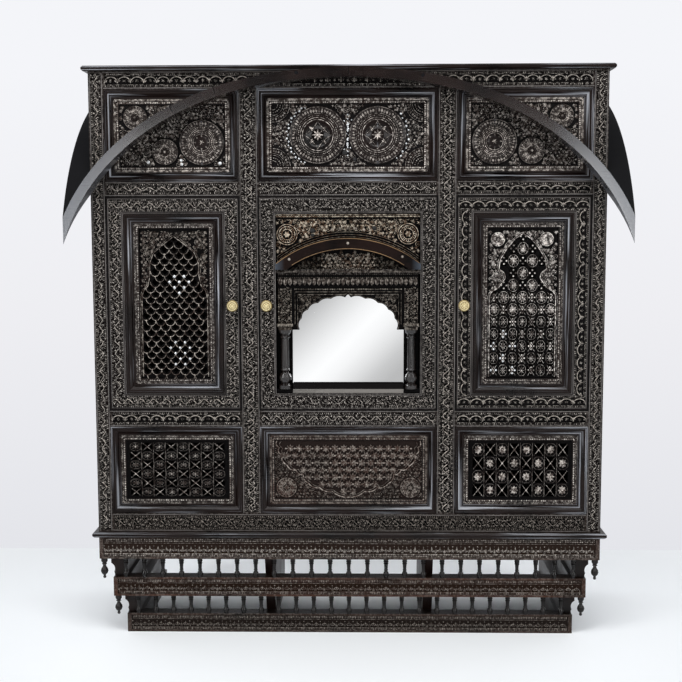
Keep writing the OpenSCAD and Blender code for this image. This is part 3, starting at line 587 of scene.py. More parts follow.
def run(tile, period, begin, end, w=0.0):
    begin, end = np.asarray(begin, float), np.asarray(end, float)
    length = np.linalg.norm(end - begin)
    count = max(1, round(length / period))
    step = length / count
    turn = math.degrees(math.atan2(*(end - begin)[::-1]))
    way = (end - begin) / length
    return stamp(tile, [(*(begin + way * step * i), w, turn, step / period, 1, LIFT) for i in range(count)])


def border(tile, period, wide, high, w):
    """Runs a tile along the four sides of a rectangle."""
    u, v = wide / 2, high / 2
    return joined(*[run(tile, period, *side, w) for side in (((-u, v), (u, v)), ((u, -v), (-u, -v)),
        ((-u, -v), (-u, v)), ((u, v), (u, -v)))])


def beaded_border(wide, high, w, scallops_in, beads_in):
    """A border of scallops and one of beads, each so far inside a frame of this size."""
    return joined(border(scallop_tile(9, 4.5), 9, wide - 2 * scallops_in, high - 2 * scallops_in, w),
        border(bead_rows(42, 4.0, 6.0, 4.6), 42, wide - 2 * beads_in, high - 2 * beads_in, w))


def foliage(wide, high, free, spacing, seed, w=0.0, mirror=True):
    """Leaves, curls and buds in staggered rows wherever free(u, v) holds."""
    dice = np.random.default_rng(seed)
    leaves, curls, buds, petals = [], [], [], []
    rows = int(high / spacing / 0.86) + 1
    for j in range(rows):
        row_v = -high / 2 + (j + 0.5) * high / rows
        cols = int(wide / spacing) + 1
        for i in range(cols):
            u = -wide / 2 + (i + 0.5 + 0.25 * (-1) ** j) * wide / cols
            if mirror and u > 0:
                continue
            u, v = u + dice.uniform(-2, 2), row_v + dice.uniform(-2, 2)
            if not free(u, v):
                continue
            turn = dice.uniform(0, 360)
            kind = dice.choice(["leaf", "leaf", "curl", "bud"])
            size = spacing * dice.uniform(0.95, 1.3)
            if kind == "curl":
                curls.append((u, v, w, turn, size, size, 4))
                buds.append((u, v, w, 0, 2.0, 2.0, 4.6))
            elif kind == "leaf":
                root = polar(-size * 0.4, math.radians(turn), u, v)
                leaves += [(*root, w, turn + spread, size * (0.8 if spread else 1.0), size * 0.7, 4.2)
                    for spread in (-38, 0, 38)]
            else:
                buds.append((u, v, w, 0, 2.6, 2.6, 4.4))
                petals += [(u, v, w, turn + 72 * side, size * 0.5, size * 0.7, 3.4) for side in range(5)]
    whole = joined(*[stamp(shape, places) for shape, places in ((LEAF, leaves), (CURL, curls),
        (BEAD, buds), (SLIM, petals)) if places])
    return joined(whole, flipped(whole)) if mirror else whole


print("vine tile triangles:", len(vine_tile(60, 24)[1]))

# %% [markdown]
# ## From the flat drawing onto the bay
# A carved piece is drawn flat round a middle point and is then turned upright on the front of the bay,
# so that u runs to the right, v up and w out of the front. Strips are flat rectangles for the ground.

# %% Carve a piece
BUILT = {}


def put(name, data):
    """A new object in the scene."""
    obj = bpy.data.objects.new(name, data)
    bpy.context.collection.objects.link(obj)
    return obj


def carve(name, material, *parts, x=0.0, z=0.0, y=FACE):
    verts, tris = joined(*parts)
    world = np.column_stack([verts[:, 0] + x, y - verts[:, 2], verts[:, 1] + z]) * MM
    mesh = bpy.data.meshes.new(name)
    mesh.vertices.add(len(world))
    mesh.vertices.foreach_set("co", world.ravel())
    mesh.loops.add(tris.size)
    mesh.loops.foreach_set("vertex_index", tris.ravel())
    mesh.polygons.add(len(tris))
    mesh.polygons.foreach_set("loop_start", np.arange(0, tris.size, 3))
    mesh.polygons.foreach_set("use_smooth", [True] * len(tris))
    mesh.update(calc_edges=True)
    mesh.validate()
    mesh.materials.append(material)
    obj = put(name, mesh)
    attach(obj, "root")
    BUILT[name] = len(tris)


def strips(*boxes):
    """Flat rectangles: left, bottom, right, top and level w."""
    return joined(*[(np.array([(left, low, w), (right, low, w), (right, high, w), (left, high, w)]),
        np.array([(0, 1, 2), (0, 2, 3)])) for left, low, right, high, w in boxes])


def hoop_strips(wide, high, width, w):
    """Four strips of one width inside a rectangle."""
    a, b = wide / 2, high / 2
    return strips((-a, b - width, a, b, w), (-a, -b, a, width - b, w),
        (-a, width - b, width - a, b - width, w), (a - width, width - b, a, b - width, w))


def hoop_lines(wide, high, *insets):
    """Closed thin ridges inside a rectangle."""
    corners = [(-1, -1), (1, -1), (1, 1), (-1, 1)]
    return joined(*[ridge([(a * (wide / 2 - d), b * (high / 2 - d)) for a, b in corners], 1.0, 0.8,
        closed=True) for d in insets])


def field_ground(name, x, z, wide, high, material=GROUND_AND_SHADE):
    u, v = wide / 2 - MOULDING, high / 2 - MOULDING
    carve("ground_" + name, material, strips((-u, -v, u, v, FIELD + 0.4)), x=x, z=z)


# %% [markdown]
# ## Bands on the members
# The imported model sinks a band 4 mm deep into every post, rail and leaf frame, between two plain
# fillets. Each band gets its vine or its arcs, with stems over them that carry wear and painted glints,
# and the fillets get thin grey lines along their edges, for wear and a painted highlight.

# %% Posts, rails and leaf bands
LEAF_BAND, LEAF_BAND_IN = 22.0, 29


def stem(tile, period, half):
    if tile is vine_tile:
        return wave(period, (half - 10) * 0.68, 1.7, 5.6)
    return hoop(period, half - 9, 1.7, 5.6)


def bands(name, rows, x=0.0, z=0.0, material=CARVED, stems=True):
    """Rows of begin, end, half width, period and tile: the carving, and stems with wear and painted glints.
    """
    carve("carving_" + name, material, *[run(tile(period, half), period, begin, end, BAND)
        for begin, end, half, period, tile in rows], x=x, z=z)
    if stems:
        carve("stems_" + name, STEM, *[run(stem(tile, period, half), period, begin, end, BAND)
            for begin, end, half, period, tile in rows], x=x, z=z)


def leaf_bands(wide, tile):
    """The carved band round a leaf: its rails run through and its stiles stand between them."""
    u, v, half = wide / 2 - LEAF_BAND_IN, LEAF_H / 2 - LEAF_BAND_IN, LEAF_BAND
    sides = [((-u - half, s * v), (u + half, s * v)) for s in (-1, 1)]
    sides += [((s * u, half - v), (s * u, v - half)) for s in (-1, 1)]
    return [(*ends, half, 46, tile) for ends in sides]


POST_X, MULLION_X, BAY_X, CENTRE_X = 875, 346.5, 848, 308
END_X, STRETCHES = 843, ((-843, -384.5), (-308.5, 308.5), (384.5, 843))
RAILS = {434.5: (29, False), 1999: (27, False), 813: (26, True), 1625: (22, True)}
bands("posts", [((s * POST_X, 412), (s * POST_X, 2020), 18, 40, vine_tile) for s in (-1, 1)])
bands("mullions", [((s * MULLION_X, 476), (s * MULLION_X, 1960), 25, 48, vine_tile) for s in (-1, 1)])
bands("bottom_rail", [((-END_X, 434.5), (END_X, 434.5), 25.5, 50, vine_tile)], material=LOW, stems=False)
rows = [((-END_X, 1999), (END_X, 1999), 23, 46, arcs_tile)]
for z, half, tiles in ((813, 22, (arcs_tile, vine_tile, arcs_tile)),
        (1625, 18, (vine_tile, vine_tile, arcs_tile))):
    for (left, right), tile in zip(STRETCHES, tiles):
        rows.append(((left, z), (right, z), half, 44, tile))
bands("rails", rows)
bands("left_leaf", leaf_bands(LEAF_W, vine_tile), -SIDE_X, LEAF_Z)
bands("middle_leaf", leaf_bands(MIDDLE_W, vine_tile), 0, LEAF_Z, stems=False)
bands("right_leaf", leaf_bands(LEAF_W, arcs_tile), SIDE_X, LEAF_Z)
# Thin grey lines along the fillet edges of leaves and members: wear and a painted highlight.
for name, x, wide in LEAVES:
    carve("edges_" + name + "_leaf", EDGE_WEAR_AND_HIGHLIGHT, hoop_lines(wide, LEAF_H, 6.2, 52, 57), x=x, z=LEAF_Z)
upright = [(s * (MULLION_X + d), 470, 1965) for s in (-1, 1) for d in (-29, 29)]
upright += [(s * (POST_X + d), 405, 2025) for s in (-1, 1) for d in (-22, 20)]
lines = [ridge([(u, low), (u, high)], 1.0, 0.8) for u, low, high in upright]
for z, (half, split) in RAILS.items():
    bays = ((-BAY_X, -384), (-CENTRE_X, CENTRE_X), (384, BAY_X)) if split else ((-BAY_X, BAY_X),)
    lines += [ridge([(left, z + d), (right, z + d)], 1.0, 0.8) for left, right in bays
        for d in (-half, half)]
carve("edges_members", EDGE_WEAR_AND_HIGHLIGHT, *lines)
# Black strips: the ground of each leaf band, and painted shadow along its joints with the frame.
for name, x, wide in LEAVES:
    for kind, more, width, w in (("ground", -15, 43.5, BAND + 0.4), ("joint_shadow", 7, 6, 0.5)):
        carve(f"{kind}_{name}_leaf", GROUND_AND_SHADE, hoop_strips(wide + more, LEAF_H + more, width, w), x=x,
            z=LEAF_Z)
print("bands:", sum(BUILT.values()))

# %% [markdown]
# ## Upper panels
# The field of a closed panel lies 20 mm behind the front. Roundels of two sizes stand on it, with a
# beaded and scalloped border round them and foliage between them. The middle panel has two large
# roundels and a quarter of one in each corner.

# %% Upper panels
SIDE_FLOWERS = [(104, -24, 78), (-25, -56, 45), (-128, 62, 41)]
MIDDLE_FLOWERS = [(-104, 0, 100), (104, 0, 100)]
CORNERS = [(a, b, 62) for a in (-262, 262) for b in (-106, 106)]


def outside(circles, gap=3.0):
    return lambda u, v: all(math.hypot(u - a, v - b) > r + gap + 4 for a, b, r in circles)


def panel_border(wide, high):
    return beaded_border(wide, high, BORDER, 38.5, 46.5)


def roundels(circles, w, *kind):
    return [moved(roundel(r, *kind), u, v, w) for u, v, r in circles]


def quarter(u, v, r):
    """Rings and leaves of a roundel that the corner of the panel cuts to a quarter."""
    middle = math.degrees(math.atan2(1 if v < 0 else -1, 1 if u < 0 else -1))
    rings = [ridge(arc(r * k, middle - 45, middle + 45, 14, (u, v)), 1.5, 4) for k in (0.98, 0.7, 0.6, 0.3)]
    leaves = [(*polar(0.72 * r, math.radians(t), u, v), 0, t, 0.24 * r, 12, 4)
        for t in np.linspace(middle - 41, middle + 41, 9)]
    beads = [polar(0.45 * r, math.radians(t), u, v) for t in np.linspace(middle - 38, middle + 38, 6)]
    return joined(*rings, stamp(LEAF, leaves), bead_at(beads, 3, 3.5))


side_field = foliage(366, 208, outside(SIDE_FLOWERS), 15, 3, FIELD, mirror=False)
side_carving = joined(panel_border(SIDE_W, UPPER_H), side_field)
side_roundels = joined(*roundels(SIDE_FLOWERS, FIELD))
for name, x, turned in (("left", -SIDE_X, tuple), ("right", SIDE_X, flipped)):
    carve("carving_upper_" + name, PANEL, turned(side_carving), x=x, z=UPPER_Z)
    carve("roundels_upper_" + name, ROUNDEL, turned(side_roundels), x=x, z=UPPER_Z)
carve("carving_upper_middle", PANEL, panel_border(CENTRE_W, UPPER_H),
    foliage(526, 210, outside(MIDDLE_FLOWERS + CORNERS), 14, 5, FIELD),
    *[raised(quarter(*corner), FIELD) for corner in CORNERS], z=UPPER_Z)
carve("roundels_upper_middle", ROUNDEL, *roundels(MIDDLE_FLOWERS, FIELD, True), z=UPPER_Z)
for name, x, wide in (("left", -SIDE_X, SIDE_W), ("middle", 0, CENTRE_W), ("right", SIDE_X, SIDE_W)):
    field_ground("upper_" + name, x, UPPER_Z, wide, UPPER_H)
print("panels:", sum(BUILT.values()))

# %% [markdown]
# ## Lower middle panel
# The closed middle panel has a lobed cartouche filled with rows of small flowers, and a roundel in each
# lower corner.

# %% Lower middle panel
CARTOUCHE = [(-256, 104), (-248, 80), (-241, 54), (-220, 15), (-188, -2), (-162, -18), (-143, -51),
    (-104, -66), (-58, -80), (0, -101)]
CARTOUCHE_MIDDLE = (0, 40)
LOW_ROUNDELS = [(-222, -66, 36), (222, -66, 36)]


def smooth_line(points, count):
    points = np.array(points, float)
    at = np.concatenate([[0], np.cumsum(np.linalg.norm(np.diff(points, axis=0), axis=1))])
    s = np.linspace(0, at[-1], count)
    return np.column_stack([np.interp(s, at, points[:, 0]), np.interp(s, at, points[:, 1])])


def mirrored_line(points):
    """A line on one side of the middle, and back again on the other side."""
    points = np.asarray(points)
    return np.vstack([points, points[::-1][1:] * [-1, 1]])


def scaled(line, factor):
    return (np.asarray(line) - CARTOUCHE_MIDDLE) * factor + CARTOUCHE_MIDDLE


def lobed(points, bulge, stations, offset=0.0):
    """Swells each stretch between two points into a lobe."""
    line = []
    for low, high in zip(np.array(points[:-1], float), np.array(points[1:], float)):
        out = np.array([high[1] - low[1], low[0] - high[0]]) / np.linalg.norm(high - low)
        line += [low + (high - low) * s + out * (offset + bulge * s * (1 - s)) for s in stations]
    return line


def inside_cartouche(u, v, shrink=8):
    edge = np.interp(-abs(u), *zip(*[(p[0], p[1]) for p in CARTOUCHE]))
    return v > edge + shrink * 1.3 and abs(u) < 236 and v < 98


def below_cartouche(u, v):
    return not inside_cartouche(u, v, -12) and outside(LOW_ROUNDELS)(u, v) and v < 60


outline = mirrored_line(lobed(CARTOUCHE, 26, np.linspace(0, 0.86, 7)) + [CARTOUCHE[-1]])
flowers, buds = [], []
for j, v in enumerate(np.arange(-80, 98, 26)):
    for u in np.arange(-240, 241, 32):
        for places, shift, size in ((flowers, j % 2, (30 * (j % 2), 17.5, 16.5, 5.5)),
                (buds, 1 - j % 2, (0, 4, 4, 5))):
            if inside_cartouche(u + 16 * shift, v):
                places.append((u + 16 * shift, v, FIELD, *size))
studs = [(u, v, FIELD, 0, 2, 2, 4) for u, v in scaled(smooth_line(outline, 110), 1.04)]
field_ground("lower_middle", 0, LOWER_Z, CENTRE_W, LOWER_H, BROWN_GROUND)
carve("carving_lower_middle", LOW_PANEL, panel_border(CENTRE_W, LOWER_H),
    stamp(flower(8, 1.0, 1.0, LEAF), flowers), stamp(BOSS, buds),
    raised(ridge(outline, 2.4, 6, ROUND), FIELD), raised(ridge(scaled(outline, 0.95), 1.6, 5), FIELD),
    stamp(BEAD, studs), foliage(526, 210, below_cartouche, 13, 8, FIELD),
    *roundels(LOW_ROUNDELS, FIELD, False, flat_disc), z=LOWER_Z)

# %% [markdown]
# ## Lower lattices
# The panels beside it are lattices with a cross or a fluted plate on every other square.

# %% Lower lattices
def cells(wide, high, step_u, step_v):
    """Squares of a chequer: whether one carries a plate, and its middle."""
    cols, rows = int((wide + 1) // step_u), int((high + 1) // step_v)
    for j in range(rows):
        for i in range(cols):
            yield (i + j) % 2, (i + 0.5 - cols / 2) * step_u, (j + 0.5 - rows / 2) * step_v


def cross(step_u, step_v):
    a, b = step_u / 2 - 5, step_v / 2 - 3
    arm = np.array([0.6, 1.5, 2.0, 1.5, 0.6])
    return joined(*[ridge([(side * k * a, k * b) for k in (-1, -0.5, 0, 0.5, 1)], arm, 4.0)
        for side in (-1, 1)], bead_at([(0, 0)], 3.4, 5.0))


def plate(step_u, step_v, high=4.0):
    """A square plate of fluted leaves round a bead, with cut corners."""
    a, b = step_u / 2 - 2.5, step_v / 2 - 2.5
    rim = [(-a, -b * 0.5), (-a * 0.5, -b), (a * 0.5, -b), (a, -b * 0.5), (a, b * 0.5), (a * 0.5, b),
        (-a * 0.5, b), (-a, b * 0.5)]
    leaves = [(0, 0, 0, math.degrees(math.atan2(b * math.sin(t), a * math.cos(t))),
        0.95 * math.hypot(a * math.cos(t), b * math.sin(t)), a * 0.62, high)
        for t in (math.pi / 4 * k for k in range(8))]
    return joined(ridge(rim, 1.6, high * 0.8, closed=True), stamp(SLIM, leaves),
        bead_at([(0, 0)], 3, high + 1))


for name, x, step_u, step_v in (("left", -SIDE_X, 43, 33), ("right", SIDE_X, 43, 49)):
    squares = list(cells(354.5, 199, step_u, step_v))
    crosses, plates = ([(u, v, BORDER) for odd, u, v in squares if odd == kind] for kind in (0, 1))
    edges = sorted({u + step_u / 2 for odd, u, v in squares})[:-1]
    carve("carving_lower_" + name, LOW_LATTICE, panel_border(SIDE_W, LOWER_H),
        stamp(plate(step_u, step_v, 3.0), plates),
        *[raised(ridge([(u, -98), (u, 98)], 1.3, 3), BORDER) for u in edges], x=x, z=LOWER_Z)
    carve("crosses_lower_" + name, LOW_LATTICE, stamp(cross(step_u, step_v), crosses), x=x, z=LOWER_Z)
carve("flowers_lower_right", LOW_LATTICE, stamp(flower(8, 1.0, 1.0, LEAF, 0.45),
    [(*place, 0, 16, 18, 5) for place in plates]), x=SIDE_X, z=LOWER_Z)
print("lower panels:", sum(BUILT.values()))

# %% [markdown]
# ## Lattices of the leaves
# The left lattice is a net of scales inside a pointed arch: a curved bar hangs between every two knots.
# The right one is a chequer of plates and crosses, with round flowers in its upper half. Both lie 18 mm
# behind the front, and foliage and small roundels fill the corners over their arches.

# %% Lattices
NET_W, NET_H = 232.5, 518.0
SCALE_U, SCALE_V = 34, 19.5
CHEQUER_U, CHEQUER_V = 33.2, 43
OGEE = [(0.1, 1), (0.2, 0.93), (0.23, 0.82), (0.38, 0.75), (0.56, 0.74), (0.7, 0.62), (0.8, 0.36),
    (0.92, 0.0)]
TREFOIL = [(0.1, 1), (0.16, 0.94), (0.22, 0.72), (0.35, 0.52), (0.42, 0.56), (0.47, 0.72), (0.6, 0.68),
    (0.75, 0.48), (0.88, 0.24), (0.95, 0.0)]
ROSETTES = [(-96, 180, 12), (86, 218, 12), (105, 169, 10), (-72, 218, 12)]
TOP_ROUNDELS = [(-88, 226, 24), (82, 226, 24)]
FOUR_WAYS = ((0, 1), (0, -1), (1, 0), (-1, 0))


def arch_half(v, arch):
    """Half width of an arch at a height over the middle of the lattice."""
    return float(np.interp(2 * v / NET_H, *zip(*arch))) * NET_W / 2


def arch_line(arch, grow=0.0):
    right = [(half * NET_W / 2 + grow, share * NET_H / 2 + (grow if half < 0.1 else 0))
        for share, half in arch]
    return mirrored_line(smooth_line([(NET_W / 2 + grow, -NET_H / 2)] + right, 70))


def arch_carving(arch, circles, gap, seed):
    """Two ridges along an arch, and foliage over it."""
    return [raised(ridge(arch_line(arch), 2.4, 6), NET), raised(ridge(arch_line(arch, 6), 1.4, 4.5), NET),
        foliage(232, 510, lambda u, v: v > NET_H * 0.04 and abs(u) > arch_half(v, arch) + 8
            and outside(circles, gap)(u, v), 12, seed, NET)]


scales = []
for j in range(-13, 14):
    v = j * SCALE_V
    for i in range(-4, 5):
        u = (i + (0 if j % 2 == 0 else 0.5)) * SCALE_U
        if abs(u) + 7.5 < arch_half(v, OGEE) and abs(u) + 12.4 < NET_W / 2 + 1:
            scales.append((u, v))
hang = np.array([(math.cos(t) * 17, math.sin(t) * SCALE_V * 0.98) for t in np.radians(range(180, 361, 20))])
rosette = joined(flower(8, 0.95, 1, LEAF, 0.3), ring(1, 0.12, 0.8, 20))
rim_out, rim_in, leaves = arch_carving(OGEE, ROSETTES, 0, 11)
carve("carving_left_lattice", LATTICE, stamp(ridge(hang, 2.3, 4.5), [(u, v, NET) for u, v in scales]),
    stamp(BEAD, [(u, v - SCALE_V, NET, 0, 3.4, 3.4, 5.5) for u, v in scales]), rim_out, rim_in,
    *[stamp(rosette, [(u, v, NET, 0, r, r, 5)]) for u, v, r in ROSETTES], leaves, x=-SIDE_X, z=LEAF_Z)

squares = list(cells(NET_W, NET_H, CHEQUER_U, CHEQUER_V))
crosses = [(u, v, NET) for odd, u, v in squares if not odd and v < 30 and abs(u) < 110]
small = [(u, v, NET) for odd, u, v in squares if not odd and v > 30 and abs(u) + 9 < arch_half(v, TREFOIL)]
plates = [(u, v, NET) for odd, u, v in squares if odd and v < -60]
rounds = [(u, v, NET, 0, 1, 1.2, 1) for odd, u, v in squares if odd and v > -60
    and abs(u) + 4 < arch_half(v, TREFOIL)]
dots = stamp(BOSS, [(a * 9, b * 11, 0, 0, 3.4, 3.4, 4) for a, b in FOUR_WAYS])
carve("carving_right_lattice", CHEQUER, stamp(cross(CHEQUER_U, CHEQUER_V), crosses),
    stamp(dots, crosses + small), stamp(plate(CHEQUER_U, CHEQUER_V), plates),
    stamp(joined(flower(10, 17, 4.5, LEAF), ring(18, 1.4, 3.5, 20)), rounds),
    *arch_carving(TREFOIL, TOP_ROUNDELS, 3.0, 12), *roundels(TOP_ROUNDELS, NET, False, flat_disc),
    x=SIDE_X, z=LEAF_Z)
for name, x in (("left", -SIDE_X), ("right", SIDE_X)):
    carve("carving_" + name + "_edge", LEAF_EDGE, beaded_border(LEAF_W, LEAF_H, LEAF_BORDER, 97, 104.5),
        x=x, z=LEAF_Z)
print("lattices:", sum(BUILT.values()))

# %% [markdown]
# ## The middle leaf
# Over the mirror come a carved board with a scalloped edge, pilasters and a lintel with a row of
# petals.

# %% Arch board, pilasters and lintel
SPRING, LINTEL, HOOD = 1130.0, 1279.0, 1343.0
PILASTER_X = 222.5
BEAD_ROW = (bead_rows(42, 4, 6, 4.6), 42)


def arch_at(t):
    return (10 + 162.5 * math.cos(math.pi / 2 * t), SPRING + 114.3 * math.sin(math.pi / 2 * t) ** 0.9)


edge = np.array(lobed([arch_at(i / 5) for i in range(6)], 28, np.linspace(0, 0.9, 8), 3.5)
    + [(3, SPRING + 131)])


def on_arch_board(u, v):
    gap = np.interp(abs(u), edge[::-1, 0], edge[::-1, 1])
    return v > gap + 9 and v < LINTEL - 30 and abs(u) < 172


board_leaves = foliage(372, 140, lambda u, v: on_arch_board(u, v + SPRING + 70), 12, 21)
board = [ridge(edge, 1.6, 3.5), flipped(ridge(edge, 1.6, 3.5)),
    run(*BEAD_ROW, (-190, LINTEL - 6), (190, LINTEL - 6)), moved(board_leaves, 0, SPRING + 70, 0)]
board += [ridge([(d - 190, 1150), (d - 190, LINTEL - 12 - d), (190 - d, LINTEL - 12 - d), (190 - d, 1150)],
    1.6, 4.5) for d in (3, 12)]
carve("carving_arch", ARCH_CUT, *[raised(part, -8.0) for part in board])

pilasters = [run(tile, period, (s * PILASTER_X, 1154), (s * PILASTER_X, 1277), -8)
    for tile, period in ((vine_tile(46, 22, False), 46), (bead_rows(24, 25, 6, 5), 24)) for s in (-1, 1)]
pilasters += [run(petal_tile(9, 5), 9, (s * PILASTER_X - 27, 1146), (s * PILASTER_X + 27, 1146), -1)
    for s in (-1, 1)]
carve("carving_pilasters", ARCH_CUT, *pilasters)
carve("carving_lintel", LINTEL_CUT, run(petal_tile(17, 15), 17, (-246, 1301), (246, 1301), -5),
    run(bead_rows(42, 9), 42, (-246, 1320), (246, 1320), -5),
    run(petal_tile(8, 5), 8, (-250, 1335), (250, 1335), -2))

# %% [markdown]
# ## The hood
# The small hood is a bent board between two arcs. Its hollow is filled with foliage, darker at the ends,
# and over it lies a board of foliage with two roundels, three ridges that follow the bend and a row of
# studs. Golden lines and three nails mark its front. The sill under the mirror gets a pale strip of
# painted highlight along its top and a black strip of painted shade above it.

# %% Hood
HOOD_FLOWERS = [(-214, 1465, 37), (211, 1467, 37)]


def bend(u, half, rise, top):
    """Height of an arc of this half width and rise whose crown lies at the top."""
    radius = (half ** 2 + rise ** 2) / (2 * rise)
    return math.sqrt(max(0.0, radius ** 2 - u ** 2)) + HOOD + top - radius


def hood_top(u):
    return bend(u, 254.5, 90, 110)


def hood_under(u):
    return bend(u, 214.5, 70, 70)


def over_hood(u, v):
    return v > hood_top(u) + 24 and outside(HOOD_FLOWERS)(u, v)


def under_hood(u, v):
    return v < hood_under(u) - 9 and abs(u) < 200


for name, material, near, far in (("middle", TYMPANUM, 0, 95), ("ends", TYMPANUM_DARK, 95, 200)):
    hollow = foliage(410, 120, lambda u, v: under_hood(u, v + HOOD + 55) and near <= abs(u) < far, 14, 31)
    carve("carving_tympanum_" + name, material, moved(hollow, 0, HOOD + 55, -26.0, 1.6))

spandrel = [moved(foliage(500, 180, lambda u, v: over_hood(u, v + 1450), 15, 41), 0, 1450, -16, 1.3)]
for u, v, r in HOOD_FLOWERS:
    rings = [ring(r * k, 1.8, 5) for k in (0.96, 0.76, 0.5)]
    rings += [flower(6, 0.36 * r, 5, LEAF), bead_ring(0.63 * r, 7, 4, 4)]
    spandrel += [moved(part, u, v, -15) for part in rings]
wide, narrow = np.linspace(-250, 250, 81), np.linspace(-196, 196, 61)
spandrel += [raised(ridge([(u, hood_top(u) + d) for u in wide], 1.4, 4), -16) for d in (4, 12, 21)]
spandrel += [run(scallop_tile(9, 6), 9, (-252, 1529), (252, 1529), -10)]
carve("carving_spandrel", BOARD_CUT, *spandrel)
carve("studs_spandrel", RUBBED, discs([(u, 1480 + 6 * math.cos(u / 40), -12, 5)
    for u in (-56, -28, 0, 28, 56)], 8))
# A pale strip of painted highlight on the sill, and black painted shade between it and the mirror.
carve("sill_top", SILL_SHEEN, strips((-196, 905, 196, 919, -3.0)))
carve("sill_shade", GROUND_AND_SHADE, strips((-196, 919, 196, 939.5, -3.6)))
carve("hood_lines", GOLDEN, raised(ridge([(u, hood_top(u) - 1.5) for u in wide], 1.2, 2), 18.0),
    raised(ridge([(u, hood_under(u) + 3) for u in narrow], 1.0, 1.6), 18.0))
carve("hood_nails", RUBBED, discs([(u, hood_top(u) - 18, 18, 5) for u in (-205, 0, 190)], 4))
print("middle leaf:", sum(BUILT.values()))

# %% [markdown]
# ## The eave
# The bent board is glued up from lengths: three fine seams and two plugs over its screws show on it.

# %% Seams and plugs
EAVE_FACE = -350.0
EAVE_HALF, EAVE_FULL, EAVE_DROP, EAVE_POWER, EAVE_Z = 980, 0.947, 503, 2.2, 2035


def eave_top(x):
    rise = EAVE_DROP / (1 - math.sqrt(1 - EAVE_FULL ** EAVE_POWER))
    return EAVE_Z + rise * math.sqrt(1 - (abs(x) / (EAVE_HALF / EAVE_FULL)) ** EAVE_POWER) - rise


def eave_mark(x):
    """A point on the top line of the eave and the way across the board."""
    along = np.array([2.0, eave_top(x + 1) - eave_top(x - 1)])
    along /= np.linalg.norm(along)
    return np.array([x, eave_top(x)]), np.array([along[1], -along[0]])


seams = [ridge([head + across * 1, head + across * 31], 1.3, 0.3)
    for head, across in map(eave_mark, (4, -458, -607))]
plugs = [(*(head + across * 16), 0, 6.5) for head, across in map(eave_mark, (-174, 258))]
carve("eave_seams", GROUND_AND_SHADE, *seams, y=EAVE_FACE)
carve("eave_plugs", MATTE, discs(plugs, 0.5), y=EAVE_FACE)
print("eave marks:", len(seams), len(plugs))

# %% [markdown]
# ## Base
# The apron, the middle tier and the plinth have a row of arcs with palmettes between beaded edges, each
# 40 mm behind the one above.

# %% Tiers
for name, z, half_w, half_h, back in (("apron", 341, 882, 32, 0), ("tier", 184, 842, 26, 40),
        ("plinth", 35, 802, 26, 80)):
    carve("carving_" + name, BASE[back],
        run(palmette_tile(30, half_h), 30, (-half_w, 0), (half_w, 0), BAND), z=z, y=FACE + back)
print("base:", sum(BUILT.values()))

# %% [markdown]
# ## Studs, chips of mirror and knobs
# Pale studs and small round mirrors are let into the carving here and there; a few are lost, and black
# bosses of painted shade stand for their holes. A flower is stamped on each brass knob.

# %% Studs and chips
KNOB_X, KNOB_Z, KNOB_W = (-406.5, -286.5, 406.5), 1216, 20.6


def scale_chips(mid_u, mid_v, half_u, half_v, size):
    """Chips in the scales inside an ellipse of the left lattice."""
    return discs([(u, v - SCALE_V, NET + 1, size) for u, v in scales
        if ((u - mid_u) / half_u) ** 2 + ((v - mid_v) / half_v) ** 2 < 1])


chips = []
for u, begin, end, count in ((-104, 115, 250, 22), (-104, -28, 28, 7), (104, 150, 205, 7),
        (104, -50, 42, 12)):
    for i, turn in enumerate(np.radians(np.linspace(begin, end, count))):
        chips.append((*polar(104 + 5 * (i % 2), turn, u), FIELD, 3.0 + 1.8 * math.sin(5.3 * i) ** 2))
chips += [(0, 14 * k, FIELD, 3.4) for k in (-5, -4, -3, -2, -1, 1, 2, 3, 4, 5)]
carve("chips_upper_middle", CHIP, discs([chip for chip in chips if abs(chip[1]) < 100]), z=UPPER_Z)
carve("studs_upper_left", CHIP, discs([(-85, -91, FIELD, 7), (31, -85, FIELD, 6), (33, -99, FIELD, 6),
    (167, -96, FIELD, 7)]), x=-SIDE_X, z=UPPER_Z)
carve("chips_left_lattice", CHIP, scale_chips(16, 86, 40, 44, 6.0), x=-SIDE_X, z=LEAF_Z)
carve("chips_left_low", CHIP, scale_chips(18, -150, 38, 52, 5.2), x=-SIDE_X, z=LEAF_Z)
carve("chips_right_lattice", CHIP, discs([(u + a * 9, v + b * 11, NET + 1, 4.4) for u, v, w in crosses
    if -110 < u < 0 and v < -100 for a, b in FOUR_WAYS if (u + v + a) % 3 < 2]), x=SIDE_X, z=LEAF_Z)
# Black bosses of painted shade stand for the holes of lost studs.
carve("lost_studs", HOLE_SHADE, discs([(-10, UPPER_Z - 60, FIELD + 3, 9), (24, UPPER_Z - 84, FIELD + 3, 7),
    (-124, 1479, -11, 9), (-124, 1462, -11, 7), (92, 1487, -11, 8)], 3.0))
knob_flower = joined(flower(8, 13, 2.5), ring(15, 1.2, 1.6, 24), bead_ring(10, 5, 3, 2.2))
carve("knob_flowers", STAMPED, *[moved(knob_flower, x, KNOB_Z, KNOB_W) for x in KNOB_X])
print("all carving:", sum(BUILT.values()), "pieces:", len(BUILT))

# %% [markdown]
# ## Camera
# The photographer stood a little to the right of the middle, at the height of the leaves, and looked
# slightly down.

